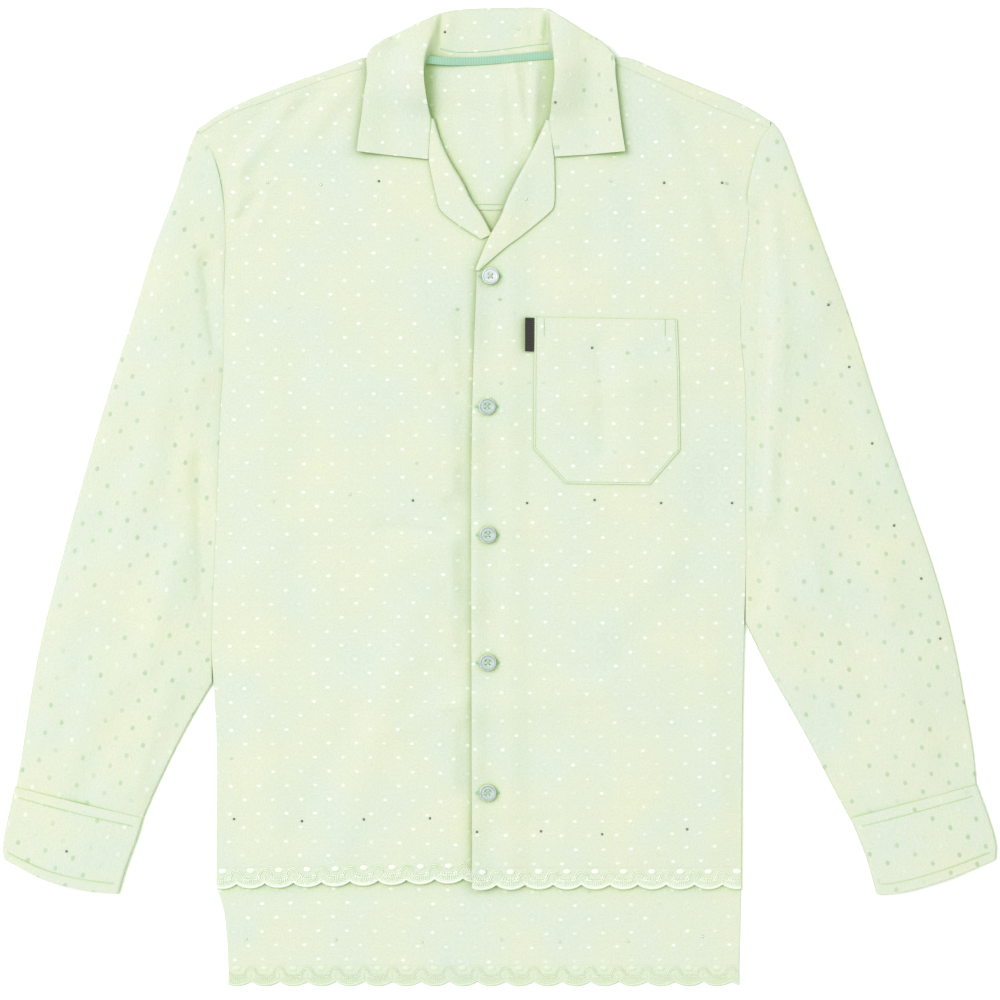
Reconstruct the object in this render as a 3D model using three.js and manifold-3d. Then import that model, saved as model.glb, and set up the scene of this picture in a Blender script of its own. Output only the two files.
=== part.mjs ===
// A long-sleeved shirt with a notched camp collar, laid flat, front up.
// Millimetres. +X is to the right of someone looking down at the shirt, +Y towards the collar,
// +Z up off the surface. Right and left in the names are the wearer's.
import * as THREE from 'three';
import { mergeVertices } from 'three/addons/utils/BufferGeometryUtils.js';
import Module from 'manifold-3d';

// Driving dimensions
const WALL = 1.1;              // one layer of cloth, with its turned-in edges
const SEAM = 0.3;              // clear width of a seam between two pieces
const LAYER = 0.4;             // air between two layers of cloth
const CROWN = 1.4;             // how far the front stands off the back between its side seams
const MOST_AIR = 3.3;          // highest that a front or a sleeve stands off the layer below it
const BODY_CENTRE = -16;       // middle of the body
const NECK_CENTRE = -8;        // middle of the neck
const BODY_HALF = 214;         // half the width across the body
const FRONT_HEM = -303;        // lower edge of the fronts, where their lace starts
const BACK_HEM = -384;         // lower edge of the back, where its lace starts
const YOKE_SEAM = 236;         // seam between the yoke and the back
const PLACKET_EDGE = -22.5;    // edge of the upper front
const PLACKET_TOP = 63.5;      // where it starts to lean towards the roll line
const UNDERLAP_EDGE = 4.5;     // edge of the lower front, hidden by the upper one
const UNDERLAP_TOP = 193;      // where that edge turns towards the roll line
const UNDERLAP_SLOPE = [6.5, 28.5];  // the upper front comes down over it between these two x
const SLEEVE_CROWN = 3.2;      // extra height of a sleeve along its middle
const CUFF_WALL = 1.5;
const CUFF_CROWN = 1.6;
const FOLD = 2.2;              // half the width of the collar's turned edge
const ROLL_SPREAD = 17;        // width over which the collar comes down from its roll line
// The yoke rides over the collar's turned-under fall, within a distance from the neck and above a y
const OVER_FALL = { beside: [103, 125], above: [312, 336] };
// The y between which the collar's seam and roll line pass from the fronts to the back of the neck
const BEHIND_NECK = { seam: [334, 355.5], roll: [346.5, 363] };
// The fold over a shoulder: distance from its fold line, and height from the back (0) to the front (1)
const SHOULDER_TURN = [[2.6, 0], [1.1, 0.14], [WALL / 2, 0.5], [1.1, 0.86], [2.6, 1]];
const LACE_WALL = 1.0;
const LACE_DEPTH = 18;         // from the hem to the tips of the scallops
const SCALLOP_PITCH = 23.2;    // from one point of the lace edge to the next
const SCALLOP_DEPTH = 4.5;
const SCALLOP_STEPS = 5;
const SEAM_CELLS = { shoulder: 10, armhole: 8, roll: 6 };  // steps along seams that two pieces share
const BACK_CELLS = 8;
const FRONT_SIDE_CELLS = 18;
const COLLAR_CELLS = 32;
const CUFF_CELLS = { across: 8, along: 4 };
const SLEEVE_OFF = 0.9;        // a sleeve's distance from the body's edge
const BUTTON_RADIUS = 6.75;
const BUTTON_THICKNESS = 2.6;
const BUTTON_HOLE_RADIUS = 0.85;
const BUTTON_HOLE_PITCH = 2.9;
const LABEL = { x: 20.9, y: 119.5, width: 7.4, length: 27.6, wall: 0.9 };

const COLOURS = {
  cloth: { color: 0xe5eed7, roughness: 0.72, metalness: 0 },
  lace: { color: 0xeef5e6, roughness: 0.6, metalness: 0 },
  tape: { color: 0xa9d3bc, roughness: 0.65, metalness: 0 },
  button: { color: 0xb9ccd0, roughness: 0.25, metalness: 0 },
  tab: { color: 0x33302f, roughness: 0.8, metalness: 0 },
};

// Seams and edges that two pieces share, as [x, y] points
const ARMHOLE_RIGHT_YOKE = [[-246, 298.5], [-238, 286.5], [-231, 266], [-227, 242.5], [-226.5, YOKE_SEAM]];
const ARMHOLE_RIGHT_BACK = [[-226.5, YOKE_SEAM], [-225, 211], [-226, 183.5]];
const ARMHOLE_RIGHT = [...ARMHOLE_RIGHT_YOKE, ...ARMHOLE_RIGHT_BACK.slice(1)];
const ARMHOLE_LEFT_YOKE = [[222, 303], [216, 295.5], [208, 271], [204, 249], [204, YOKE_SEAM]];
const ARMHOLE_LEFT_BACK = [[204, YOKE_SEAM], [203.5, 217.5], [201, 202], [198, 170], [197.5, 133]];
const ARMHOLE_LEFT = [...ARMHOLE_LEFT_YOKE, ...ARMHOLE_LEFT_BACK.slice(1)];
const SIDE_RIGHT = [[-226, 183.5], [-226, 121], [-228.5, 77.5], [-232.5, -26.5], [-236, -125], [-234, -158],
  [-232, -199], [-232, FRONT_HEM]];
const SIDE_LEFT = [[197.5, 133], [201.5, 88], [201.5, -10], [202, -47], [199, -166], [198, FRONT_HEM]];
const ROLL_RIGHT = [[-56, 310], [-51, 292.5], [-43, 274.5], [-32.5, 257], [-25, 242.5], [-16, 230],
  [-7.5, 215]];
const ROLL_LEFT = [[40.5, 308.5], [33.5, 292.5], [26.5, 278], [15.5, 257], [8.5, 242.5], [3.5, 230],
  [-7.5, 211], [-14.5, 195], [-18.5, 185.5]];
const NECKLINE_RIGHT = [[-71, 363.5], [-68.5, 340.5], [-64.5, 325], [-56, 310]];
const NECKLINE_LEFT = [[51, 368.5], [51, 342.5], [47, 325], [40.5, 308.5]];
const SHOULDER_SEAM_RIGHT = [[-246, 298.5], [-220.5, 314.5], [-186, 327], [-151.5, 340], [-120.5, 349.5],
  [-71, 363.5]];
const SHOULDER_SEAM_LEFT = [[51, 368.5], [92, 356.5], [125, 343], [159.5, 327], [191, 314.5], [222, 303]];
const SHOULDER_FOLD_RIGHT = [[-247, 302.5], [-227.5, 316], [-181.5, 336], [-144.5, 349], [-116, 359],
  [-105.5, 361], [-85.5, 368], [-67, 377]];
const SHOULDER_FOLD_LEFT = [[49.5, 381], [74, 368.5], [91.5, 361], [105.5, 360.5], [134, 349],
  [167.5, 336], [199.5, 322.5], [222, 309]];

// Largest folds of the fronts: a soft ridge (height > 0) or trough along a line
const FRONT_FOLDS = [
  { from: [-174, 313.5], to: [-213, 245], width: 12, height: 1.1 },
  { from: [-126.5, 338], to: [-221, 219.5], width: 14, height: -0.8 },
  { from: [-163.5, 121], to: [-163.5, -125], width: 16, height: -0.7 },
  { from: [-81.5, -51], to: [-24, -26.5], width: 12, height: 0.8 },
  { from: [-73.5, -100.5], to: [-135, -305.5], width: 15, height: 0.9 },
  { from: [-98, -195], to: [-24, -166], width: 12, height: 0.7 },
  { from: [86.5, 125], to: [88, 39], width: 12, height: -0.8 },
  { from: [108.5, 129], to: [110.5, 35], width: 12, height: 0.9 },
  { from: [199, 113], to: [49.5, 78.5], width: 12, height: 0.8 },
  { from: [82.5, 244], to: [72.5, 190.5], width: 12, height: -0.7 },
  { from: [140, -51], to: [82.5, -117], width: 16, height: 0.9 },
  { from: [-16, -176], to: [82.5, -158], width: 12, height: 0.8 },
];
// Largest folds of the sleeves, with the deep tuck where each one leaves the armhole
const SLEEVE_FOLDS = [
  { from: [-240.5, 193], to: [-230, 129], width: 12, height: -2.3 },
  { from: [-268.5, 162], to: [-286.5, 14.5], width: 14, height: 0.8 },
  { from: [-254, 63.5], to: [-311, -117], width: 16, height: -0.9 },
  { from: [205.5, 145.5], to: [206, -76], width: 12, height: -2.3 },
  { from: [229, 137.5], to: [217, 14.5], width: 12, height: 0.9 },
  { from: [246.5, -117], to: [295.5, -231.5], width: 14, height: -0.9 },
  { from: [312, -51], to: [353, -199], width: 16, height: 0.8 },
];

// The collar, from one leaf's end round the back of the neck to the other's. At each station: the
// roll line, the neck seam, the way out across the leaf (degrees from +X), the height of the roll
// above the cloth below, how far the leaf shows, and how much more is turned under
const COLLAR = [
  { roll: [-60, 277], seam: [-58.5, 277], heading: 174, rise: 0.6, shows: 57, under: 0 },
  { roll: [-58.5, 293], seam: [-57, 293.5], heading: 178, rise: 0.9, shows: 57, under: 0 },
  { roll: [-57.5, 310.5], seam: [-56, 310], heading: 180, rise: 2.4, shows: 55.5, under: 0 },
  { roll: [-59.5, 326], seam: [-62.5, 325], heading: 180, rise: 7, shows: 51.5, under: 0 },
  { roll: [-61.5, 342.5], seam: [-65.5, 340.5], heading: 178, rise: 10, shows: 46.5, under: 0 },
  { roll: [-61.5, 359], seam: [-60.5, 356.5], heading: 172, rise: 11, shows: 44.5, under: 0 },
  { roll: [-58, 372.5], seam: [-57, 359.5], heading: 156, rise: 9.5, shows: 23, under: 24 },
  { roll: [-53.5, 386], seam: [-51, 361], heading: 138, rise: 6.5, shows: 8, under: 42 },
  { roll: [-47, 396.5], seam: [-43, 361.5], heading: 118, rise: 3.2, shows: 0.5, under: 52 },
  { roll: [-30.5, 400], seam: [-28.5, 362], heading: 92, rise: 1.5, shows: 0, under: 55 },
  { roll: [-3.5, 401], seam: [-3.5, 362], heading: 90, rise: 1.3, shows: 0, under: 55 },
  { roll: [23.5, 401.5], seam: [21.5, 363.5], heading: 88, rise: 1.5, shows: 0, under: 55 },
  { roll: [38.5, 399], seam: [34, 365], heading: 66, rise: 3.2, shows: 1.5, under: 52 },
  { roll: [42, 386.5], seam: [39, 365.5], heading: 44, rise: 6.5, shows: 10.5, under: 40 },
  { roll: [43.5, 373.5], seam: [42, 363.5], heading: 24, rise: 9.5, shows: 24.5, under: 24 },
  { roll: [44.5, 359], seam: [45, 359], heading: 6, rise: 11, shows: 47, under: 0 },
  { roll: [44.5, 342.5], seam: [48.5, 341.5], heading: 2, rise: 10, shows: 50, under: 0 },
  { roll: [42.5, 324.5], seam: [46, 324.5], heading: 0, rise: 7, shows: 54.5, under: 0 },
  { roll: [42, 308.5], seam: [40.5, 308.5], heading: 0, rise: 2.4, shows: 57, under: 0 },
  { roll: [44.5, 293], seam: [43, 293], heading: 2, rise: 0.9, shows: 56.5, under: 0 },
  { roll: [47, 279], seam: [45.5, 279], heading: 4, rise: 0.6, shows: 56, under: 0 },
];
// Columns across the collar: parts of the stand's height, and parts of the width of the fall that shows.
// The fall's other columns follow the fold where it turns under, and none are closer than the least cell
const ACROSS_STAND = [0, 0.35, 0.65, 0.85];
const ACROSS_FALL = [0, 0.04, 0.12, 0.25, 0.42, 0.6, 0.8];
const LEAST_CELL = 0.8;

const LAPEL_RIGHT_EDGE = [[-15, 211.5], [-36, 225], [-48.5, 236], [-52, 248], [-58, 276]];
const LAPEL_LEFT_EDGE = [[-17, 185.5], [3.5, 203.5], [17.5, 214], [40.5, 233], [44, 237.5], [45, 265.5],
  [44.5, 278.5]];

const SLEEVE_RIGHT_OUTER = [[-248, 301.5], [-254, 288], [-265.5, 252], [-284, 203], [-299, 154], [-322.5, 80],
  [-344, 6], [-363.5, -67.5], [-376, -117], [-385, -166], [-392.5, -215], [-397.5, -236]];
const SLEEVE_RIGHT_INNER = [[-235.5, -152], [-258, -190.5], [-282.5, -240], [-296.5, -261]];
const SLEEVE_LEFT_OUTER = [[223.5, 308.5], [230, 300.5], [249, 252], [267, 203], [285, 154], [308.5, 80],
  [334, 6], [359, -67.5], [372, -117], [381.5, -166], [388.5, -207], [391.5, -234]];
const SLEEVE_LEFT_INNER = [[201.5, -102], [221, -141.5], [249, -190.5], [275, -240], [288, -262]];
const CUFF_RIGHT = {
  seam: [[-397.5, -237.5], [-292.5, -263]],
  edge: [[-406.5, -296.5], [-372.5, -313.5], [-341.5, -321.5], [-312.5, -325]],
  left: [[-407.5, -287.5], [-400, -248]], right: [[-306.5, -304.5], [-296.5, -277]],
};
const CUFF_LEFT = {
  seam: [[288, -263], [391.5, -235.5]],
  edge: [[309.5, -325.5], [327, -324], [367, -312.5], [407, -296.5]],
  left: [[300.5, -294]], right: [[407.5, -285], [401.5, -263]],
};
const POCKET = {
  top: [[29, 147.5], [145.5, 145.5]], right: [[147, 105.5], [148, 39]], left: [[28.5, 110.5], [28, 40]],
  bottom: [[54.5, 11.5], [123, 10.5]],
};
const BUTTONS = [[-7.5, 181], [-10, 74.5], [-9.5, -30.5], [-9.5, -135], [-9.5, -241.5]];
const NECK_TAPE = {
  upper: [[-57, 357], [-49, 359.5], [-28.5, 360], [-3.5, 360.5], [21.5, 362], [34, 363.5], [40.5, 362]],
  lower: [[-57, 351.5], [-49, 354], [-28.5, 354.5], [-3.5, 355], [21.5, 356.5], [34, 358], [40.5, 356.5]],
  wall: 0.8,
};
const YOKE_NECK = [[-64.5, 349.5], [-57, 357], [-49, 360], [-28.5, 361], [-3.5, 361], [21.5, 362.5], [34, 364],
  [39.5, 363], [47, 351.5]];
const BACK_SIDE_RIGHT = [[-231.5, -321], [-226.5, -338], [-223.5, -363], [-222.5, BACK_HEM]];
const BACK_SIDE_LEFT = [[198, -321], [197.5, -338], [197, -363], [196.5, BACK_HEM]];
const FIRST_POINT = { frontRight: -215.5, frontLeft: -2.5, back: -204 };  // of each lace edge

// Smooth step from 0 at a to 1 at b
function ramp(a, b, value) {
  const t = Math.min(1, Math.max(0, (value - a) / (b - a)));
  return t * t * (3 - 2 * t);
}

// Distance from a point to the straight line between two others
function distanceTo(x, y, [ax, ay], [bx, by]) {
  const along = ((x - ax) * (bx - ax) + (y - ay) * (by - ay)) / ((bx - ax) ** 2 + (by - ay) ** 2);
  const t = Math.min(1, Math.max(0, along));
  return Math.hypot(x - ax - t * (bx - ax), y - ay - t * (by - ay));
}

// Sum of soft folds, each a bell-shaped ridge or trough along its line
function folded(x, y, folds) {
  return folds.reduce((sum, { from, to, width, height }) =>
    sum + height * Math.exp(-((distanceTo(x, y, from, to) / width) ** 2)), 0);
}

// The back and the yoke lie on the surface, but ride over the collar's turned-under fall at the neck
function backLower(x, y) {
  const beside = 1 - ramp(...OVER_FALL.beside, Math.abs(x - NECK_CENTRE));
  return (WALL + LAYER) * beside * ramp(...OVER_FALL.above, y);
}

// The front's own crown and folds, as air between it and the back
function frontAir(x, y) {
  const across = Math.min(1, Math.abs(x - BODY_CENTRE) / BODY_HALF);
  const air = CROWN * (1 - across ** 4) + folded(x, y, FRONT_FOLDS) * ramp(1, 0.93, across);
  return Math.min(MOST_AIR, Math.max(0, air));
}

const frontRightLower = (x, y) => backLower(x, y) + WALL + LAYER + frontAir(x, y);
const frontRightUpper = (x, y) => frontRightLower(x, y) + WALL;
// The upper front is carried over the lower one's button stand
const frontLeftLower = (x, y) =>
  frontRightLower(x, y) + (WALL + 2 * LAYER) * (1 - ramp(...UNDERLAP_SLOPE, x));
const frontLeftUpper = (x, y) => frontLeftLower(x, y) + WALL;

// Evenly spaced points along a smooth curve through a few given ones
function run(points, cells) {
  const through = points.map(([x, y]) => new THREE.Vector3(x, y, 0));
  const curve = new THREE.CatmullRomCurve3(through, false, 'centripetal');
  return curve.getSpacedPoints(cells).map(({ x, y }) => [x, y]);
}

const reversed = (points) => [...points].reverse();

// Runs that meet at corners, as one edge
const edge = (...runs) => runs.flatMap((points, i) => (i ? points.slice(1) : points));

const moved = (points, dx) => points.map(([x, y]) => [x + dx, y]);

// A line with its two ends drawn in by a part of their last step
function trimmed(points, part = 0.16) {
  const between = ([ax, ay], [bx, by]) => [ax + part * (bx - ax), ay + part * (by - ay)];
  return [between(points[0], points[1]), ...points.slice(1, -1), between(points.at(-1), points.at(-2))];
}

// How far along its edge each point lies, from 0 to 1
function fractions(points) {
  const lengths = [0];
  points.slice(1).forEach(([x, y], i) => {
    lengths.push(lengths[i] + Math.hypot(x - points[i][0], y - points[i][1]));
  });
  return lengths.map((length) => length / lengths.at(-1));
}

// Plan of a piece between four edges: lower and upper run left to right, left and right run upwards
function plan(lower, upper, left, right) {
  const mean = (a, b) => fractions(a).map((value, i) => (value + fractions(b)[i]) / 2);
  const across = mean(lower, upper);
  const up = mean(left, right);
  const last = lower.length - 1;
  return up.map((t, j) => across.map((s, i) => [0, 1].map((k) =>
    (1 - t) * lower[i][k] + t * upper[i][k] + (1 - s) * left[j][k] + s * right[j][k]
    - (1 - t) * ((1 - s) * lower[0][k] + s * lower[last][k])
    - t * ((1 - s) * upper[0][k] + s * upper[last][k]))));
}

// Closed solid between two grids of points of the same size, outer and inner; a ring closes on itself
function shell(outer, inner, { ring = false } = {}) {
  const rows = outer.length;
  const columns = outer[0].length;
  const positions = [...outer.flat(), ...inner.flat()].flat();
  const at = (side, j, i) => side * rows * columns + j * columns + (i % columns);
  const faces = [];
  const quad = (a, b, c, d) => faces.push(a, b, c, a, c, d);
  const cells = ring ? columns : columns - 1;
  for (let j = 0; j < rows - 1; j++) {
    for (let i = 0; i < cells; i++) {
      quad(at(0, j, i), at(0, j, i + 1), at(0, j + 1, i + 1), at(0, j + 1, i));
      quad(at(1, j, i), at(1, j + 1, i), at(1, j + 1, i + 1), at(1, j, i + 1));
    }
  }
  for (let i = 0; i < cells; i++) {
    quad(at(1, 0, i), at(1, 0, i + 1), at(0, 0, i + 1), at(0, 0, i));
    quad(at(0, rows - 1, i), at(0, rows - 1, i + 1), at(1, rows - 1, i + 1), at(1, rows - 1, i));
  }
  for (let j = 0; !ring && j < rows - 1; j++) {
    quad(at(0, j, 0), at(0, j + 1, 0), at(1, j + 1, 0), at(1, j, 0));
    quad(at(1, j, columns - 1), at(1, j + 1, columns - 1), at(0, j + 1, columns - 1), at(0, j, columns - 1));
  }
  return facingOut(positions, faces);
}

// Geometry with its faces turned outwards, whichever way the grid ran
function facingOut(positions, faces) {
  const point = (i) => new THREE.Vector3().fromArray(positions, 3 * i);
  let volume = 0;
  for (let f = 0; f < faces.length; f += 3) {
    volume += point(faces[f]).dot(point(faces[f + 1]).cross(point(faces[f + 2])));
  }
  if (volume < 0) faces.reverse();
  const geometry = new THREE.BufferGeometry();
  geometry.setAttribute('position', new THREE.Float32BufferAttribute(positions, 3));
  geometry.setIndex(faces);
  return geometry;
}

// A wall that lies on its plan, between a lower and an upper height function
function laid(grid, lower, upper) {
  const lift = (height) => grid.map((row) => row.map(([x, y]) => [x, y, height(x, y)]));
  return shell(lift(upper), lift(lower));
}

// A wall of even thickness either side of a curved grid of points
function thickened(grid, wall) {
  const at = (j, i) => new THREE.Vector3(...grid[j][i]);
  const offset = (side) => grid.map((row, j) => row.map((point, i) => {
    const along = at(Math.min(j + 1, grid.length - 1), i).sub(at(Math.max(j - 1, 0), i));
    const across = at(j, Math.min(i + 1, row.length - 1)).sub(at(j, Math.max(i - 1, 0)));
    return across.cross(along).normalize().multiplyScalar(side * wall / 2).add(at(j, i)).toArray();
  }));
  return shell(offset(1), offset(-1));
}

// A flattened tube over a plan whose rows run from side to side: flat below, crowned above, with
// round edges. air(u, v, x, y) is its height over two layers of cloth, u from 0 to 1 across it and v along
function flatTube(grid, wall, air) {
  const radius = wall + LAYER / 2;
  const ringAt = (row, v, inset) => {
    const side = row[0];
    const other = row.at(-1);
    const width = Math.hypot(other[0] - side[0], other[1] - side[1]);
    const toward = (u) => {
      const place = Math.min(1, Math.max(0, u)) * (row.length - 1);
      const i = Math.min(row.length - 2, Math.floor(place));
      return [0, 1].map((k) => row[i][k] + (place - i) * (row[i + 1][k] - row[i][k]));
    };
    const cells = row.length - 1;
    const between = Array.from({ length: cells - 1 }, (_, i) => (i + 1) / cells);
    const steps = [radius / width, ...between, 1 - radius / width];
    const top = steps.map((u) => [...toward(u), 2 * radius + air(u, v, ...toward(u)) - inset]);
    const under = steps.map((u) => [...toward(u), inset]).reverse();
    const edgePoint = (u) => [...toward(u), radius + air(u, v, ...toward(u)) / 2];
    return [edgePoint(inset / width), ...top, edgePoint(1 - inset / width), ...under];
  };
  const rings = (inset) => grid.map((row, j) => ringAt(row, j / (grid.length - 1), inset));
  return shell(rings(0), rings(wall), { ring: true });
}

const { Manifold, Mesh: SolidMesh } = await (async () => {
  const wasm = await Module();
  wasm.setup();
  return { Manifold: wasm.Manifold, Mesh: wasm.Mesh };
})();

// three.js geometry to a solid that can be cut and joined, and back
function toSolid(geometry) {
  const bare = geometry.clone();
  bare.deleteAttribute('normal');
  bare.deleteAttribute('uv');
  const merged = mergeVertices(bare, 1e-4);
  return new Manifold(new SolidMesh({
    numProp: 3,
    vertProperties: merged.getAttribute('position').array,
    triVerts: new Uint32Array(merged.getIndex().array),
  }));
}

function fromSolid(solid) {
  const { vertProperties, triVerts } = solid.getMesh();
  const geometry = new THREE.BufferGeometry();
  geometry.setAttribute('position', new THREE.BufferAttribute(vertProperties, 3));
  geometry.setIndex(new THREE.BufferAttribute(triVerts, 1));
  return geometry;
}

const shirt = new THREE.Group();

function addPiece(name, geometry, finish) {
  const mesh = new THREE.Mesh(geometry, new THREE.MeshStandardMaterial(COLOURS[finish]));
  mesh.name = name;
  shirt.add(mesh);
}

const level = (height) => () => height;

// Height of a piece's upper face at a point, or of a given surface where that is higher
function topOf(geometry, surface) {
  const at = geometry.getAttribute('position');
  const index = geometry.getIndex().array;
  const corners = Array.from(index, (i) => [at.getX(i), at.getY(i), at.getZ(i)]);
  return (x, y) => {
    let top = surface(x, y);
    for (let f = 0; f < corners.length; f += 3) {
      const [[ax, ay, az], [bx, by, bz], [cx, cy, cz]] = corners.slice(f, f + 3);
      const area = (bx - ax) * (cy - ay) - (cx - ax) * (by - ay);
      const s = ((x - ax) * (cy - ay) - (cx - ax) * (y - ay)) / area;
      const t = ((bx - ax) * (y - ay) - (x - ax) * (by - ay)) / area;
      if (s >= 0 && t >= 0 && s + t <= 1) top = Math.max(top, az + s * (bz - az) + t * (cz - az));
    }
    return top;
  };
}

// The back, from its hem to the yoke seam
function backGeometry() {
  const top = YOKE_SEAM - SEAM;
  const upper = run([[ARMHOLE_RIGHT_BACK[0][0], top], [ARMHOLE_LEFT_BACK[0][0], top]], BACK_CELLS);
  const lower = run([BACK_SIDE_RIGHT.at(-1), BACK_SIDE_LEFT.at(-1)], BACK_CELLS);
  const side = (hemSide, bodySide, armhole, corner) => edge(
    run(reversed(hemSide), 2), run([hemSide[0], ...reversed(bodySide)], 10),
    run([...reversed(armhole).slice(0, -1), corner], 2));
  return laid(plan(lower, upper,
    side(BACK_SIDE_RIGHT, SIDE_RIGHT, ARMHOLE_RIGHT_BACK, upper[0]),
    side(BACK_SIDE_LEFT, SIDE_LEFT, ARMHOLE_LEFT_BACK, upper.at(-1))), level(0), level(WALL));
}

// One side of the yoke: its flat part, the fold over the shoulder and the strip in front of it
function yokeSide(armhole, neck, fold, seam, cells) {
  const centre = (x, y) => backLower(x, y) + WALL / 2;
  const gap = (x, y) => WALL + LAYER + frontAir(x, y);
  const foldLine = run(fold, cells);
  const seamLine = run(seam, cells);
  const inward = foldLine.map(([x, y], i) => {
    const way = new THREE.Vector2(seamLine[i][0] - x, seamLine[i][1] - y);
    return { way: way.clone().normalize(), reach: way.length() - SEAM };
  });
  const turn = ([distance, height]) => foldLine.map(([x, y], i) => {
    const { way, reach } = inward[i];
    const d = Math.min(distance, reach);
    const at = [x + way.x * d, y + way.y * d];
    return [...at, centre(...at) + height * gap(...at)];
  });
  const [start, ...round] = SHOULDER_TURN.map(turn);
  const flat = plan(run([armhole[0], neck[0]], cells), start.map(([x, y]) => [x, y]),
    run([...armhole.slice(0, -1), start[0].slice(0, 2)], 6),
    run([...neck.slice(0, -1), start.at(-1).slice(0, 2)], 6));
  const lying = flat.map((row) => row.map(([x, y]) => [x, y, centre(x, y)]));
  return thickened([...lying, ...round, turn([Infinity, 1])], WALL);
}

// The yoke: two sides and the stretch below the neck seam, in one piece
function yokeGeometry() {
  const join = 0.5;
  const neckRight = YOKE_NECK[0];
  const neckLeft = YOKE_NECK.at(-1);
  const foldRight = SHOULDER_FOLD_RIGHT.at(-1);
  const foldLeft = SHOULDER_FOLD_LEFT[0];
  const right = yokeSide(reversed(ARMHOLE_RIGHT_YOKE), [[neckRight[0] + join, YOKE_SEAM], neckRight, foldRight],
    SHOULDER_FOLD_RIGHT, SHOULDER_SEAM_RIGHT, SEAM_CELLS.shoulder);
  const left = yokeSide(reversed(ARMHOLE_LEFT_YOKE), [[neckLeft[0] - join, YOKE_SEAM], neckLeft, foldLeft],
    reversed(SHOULDER_FOLD_LEFT), reversed(SHOULDER_SEAM_LEFT), SEAM_CELLS.shoulder);
  const middle = laid(plan(
    run([[neckRight[0] - join, YOKE_SEAM], [neckLeft[0] + join, YOKE_SEAM]], 8), run(YOKE_NECK, 8),
    run([[neckRight[0] - join, YOKE_SEAM], neckRight], 6), run([[neckLeft[0] + join, YOKE_SEAM], neckLeft], 6)),
    backLower, (x, y) => backLower(x, y) + WALL);
  return fromSolid(toSolid(right).add(toSolid(left)).add(toSolid(middle)));
}

// The wearer's right front, with the button stand that lies under the other front
function frontRightGeometry() {
  const corner = [UNDERLAP_EDGE, UNDERLAP_TOP];
  const bottom = run([SIDE_RIGHT.at(-1), [UNDERLAP_EDGE, FRONT_HEM]], SEAM_CELLS.shoulder);
  const grid = plan(bottom, run(SHOULDER_SEAM_RIGHT, SEAM_CELLS.shoulder),
    edge(run(reversed(SIDE_RIGHT), FRONT_SIDE_CELLS), run(reversed(ARMHOLE_RIGHT), SEAM_CELLS.armhole)),
    edge(run([bottom.at(-1), corner], FRONT_SIDE_CELLS - 2), run([corner, ROLL_RIGHT.at(-1)], 1),
      run(reversed(ROLL_RIGHT), SEAM_CELLS.roll), run(reversed(NECKLINE_RIGHT), 3)));
  return laid(grid, frontRightLower, frontRightUpper);
}

// The wearer's left front, on top at the closure
function frontLeftGeometry() {
  const bottom = run([[PLACKET_EDGE, FRONT_HEM], SIDE_LEFT.at(-1)], SEAM_CELLS.shoulder);
  const grid = plan(bottom, run(SHOULDER_SEAM_LEFT, SEAM_CELLS.shoulder),
    edge(run([bottom[0], [PLACKET_EDGE, PLACKET_TOP], ROLL_LEFT.at(-1)], FRONT_SIDE_CELLS - 1),
      run(reversed(ROLL_LEFT), SEAM_CELLS.roll), run(reversed(NECKLINE_LEFT), 3)),
    edge(run(reversed(SIDE_LEFT), FRONT_SIDE_CELLS), run(reversed(ARMHOLE_LEFT), SEAM_CELLS.armhole)));
  return laid(grid, frontLeftLower, frontLeftUpper);
}

// A lapel lies on its front from the outer edge to the roll line, then rolls down past the front's edge
function lapelGeometry(outerEdge, roll, lower, upper, outward) {
  const cells = roll.length - 1;
  const outer = run(outerEdge, cells);
  const past = (distance) => roll.map(([x, y], j) => {
    const [ax, ay] = roll[Math.max(0, j - 1)];
    const [bx, by] = roll[Math.min(cells, j + 1)];
    const length = Math.hypot(bx - ax, by - ay) * outward;
    return [x + distance * (by - ay) / length, y - distance * (bx - ax) / length];
  });
  const between = (t) => outer.map(([x, y], j) => [x + t * (roll[j][0] - x), y + t * (roll[j][1] - y)]);
  const over = (rise) => ([x, y]) => [x, y, upper(x, y) + LAYER + rise];
  const beside = (rise) => ([x, y]) => [x, y, lower(x, y) + rise];
  // its outer and inner skin, column by column from the outer edge over the roll to its inner side
  const columns = [
    [outer.map(over(WALL)), outer.map(over(0))],
    [between(0.4).map(over(WALL)), between(0.4).map(over(0))],
    [between(0.85).map(over(WALL + 0.1)), between(0.85).map(over(0))],
    [past(0.3).map(over(WALL)), past(0.3).map(over(0))],
    [past(0.7).map(over(WALL - 0.2)), past(0.35).map(beside(0))],
    [past(1.7).map(over(0)), past(1.5).map(beside(0.3))],
  ];
  const grid = (side) => outer.map((_, j) => columns.map((column) => column[side][j]));
  return shell(grid(0), grid(1));
}

// A value of the collar's stations, between them, on a smooth curve
function collarAt(station, value) {
  const i = Math.min(COLLAR.length - 2, Math.floor(station));
  const t = station - i;
  const [a, b, c, d] = [i - 1, i, i + 1, i + 2].map((k) =>
    value(COLLAR[Math.min(COLLAR.length - 1, Math.max(0, k))]));
  return b + 0.5 * t * (c - a + t * (2 * a - 5 * b + 4 * c - d + t * (3 * (b - c) + d - a)));
}

// Widths out across the fall at which a station has its columns
function fallWidths(shows, under) {
  const wanted = [...ACROSS_FALL.map((t) => t * shows), shows - FOLD, shows, shows + FOLD,
    shows + under / 2, shows + under];
  return wanted.map((width, k) => Math.min(Math.max(width, k * LEAST_CELL),
    shows + under - (wanted.length - 1 - k) * LEAST_CELL));
}

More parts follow.
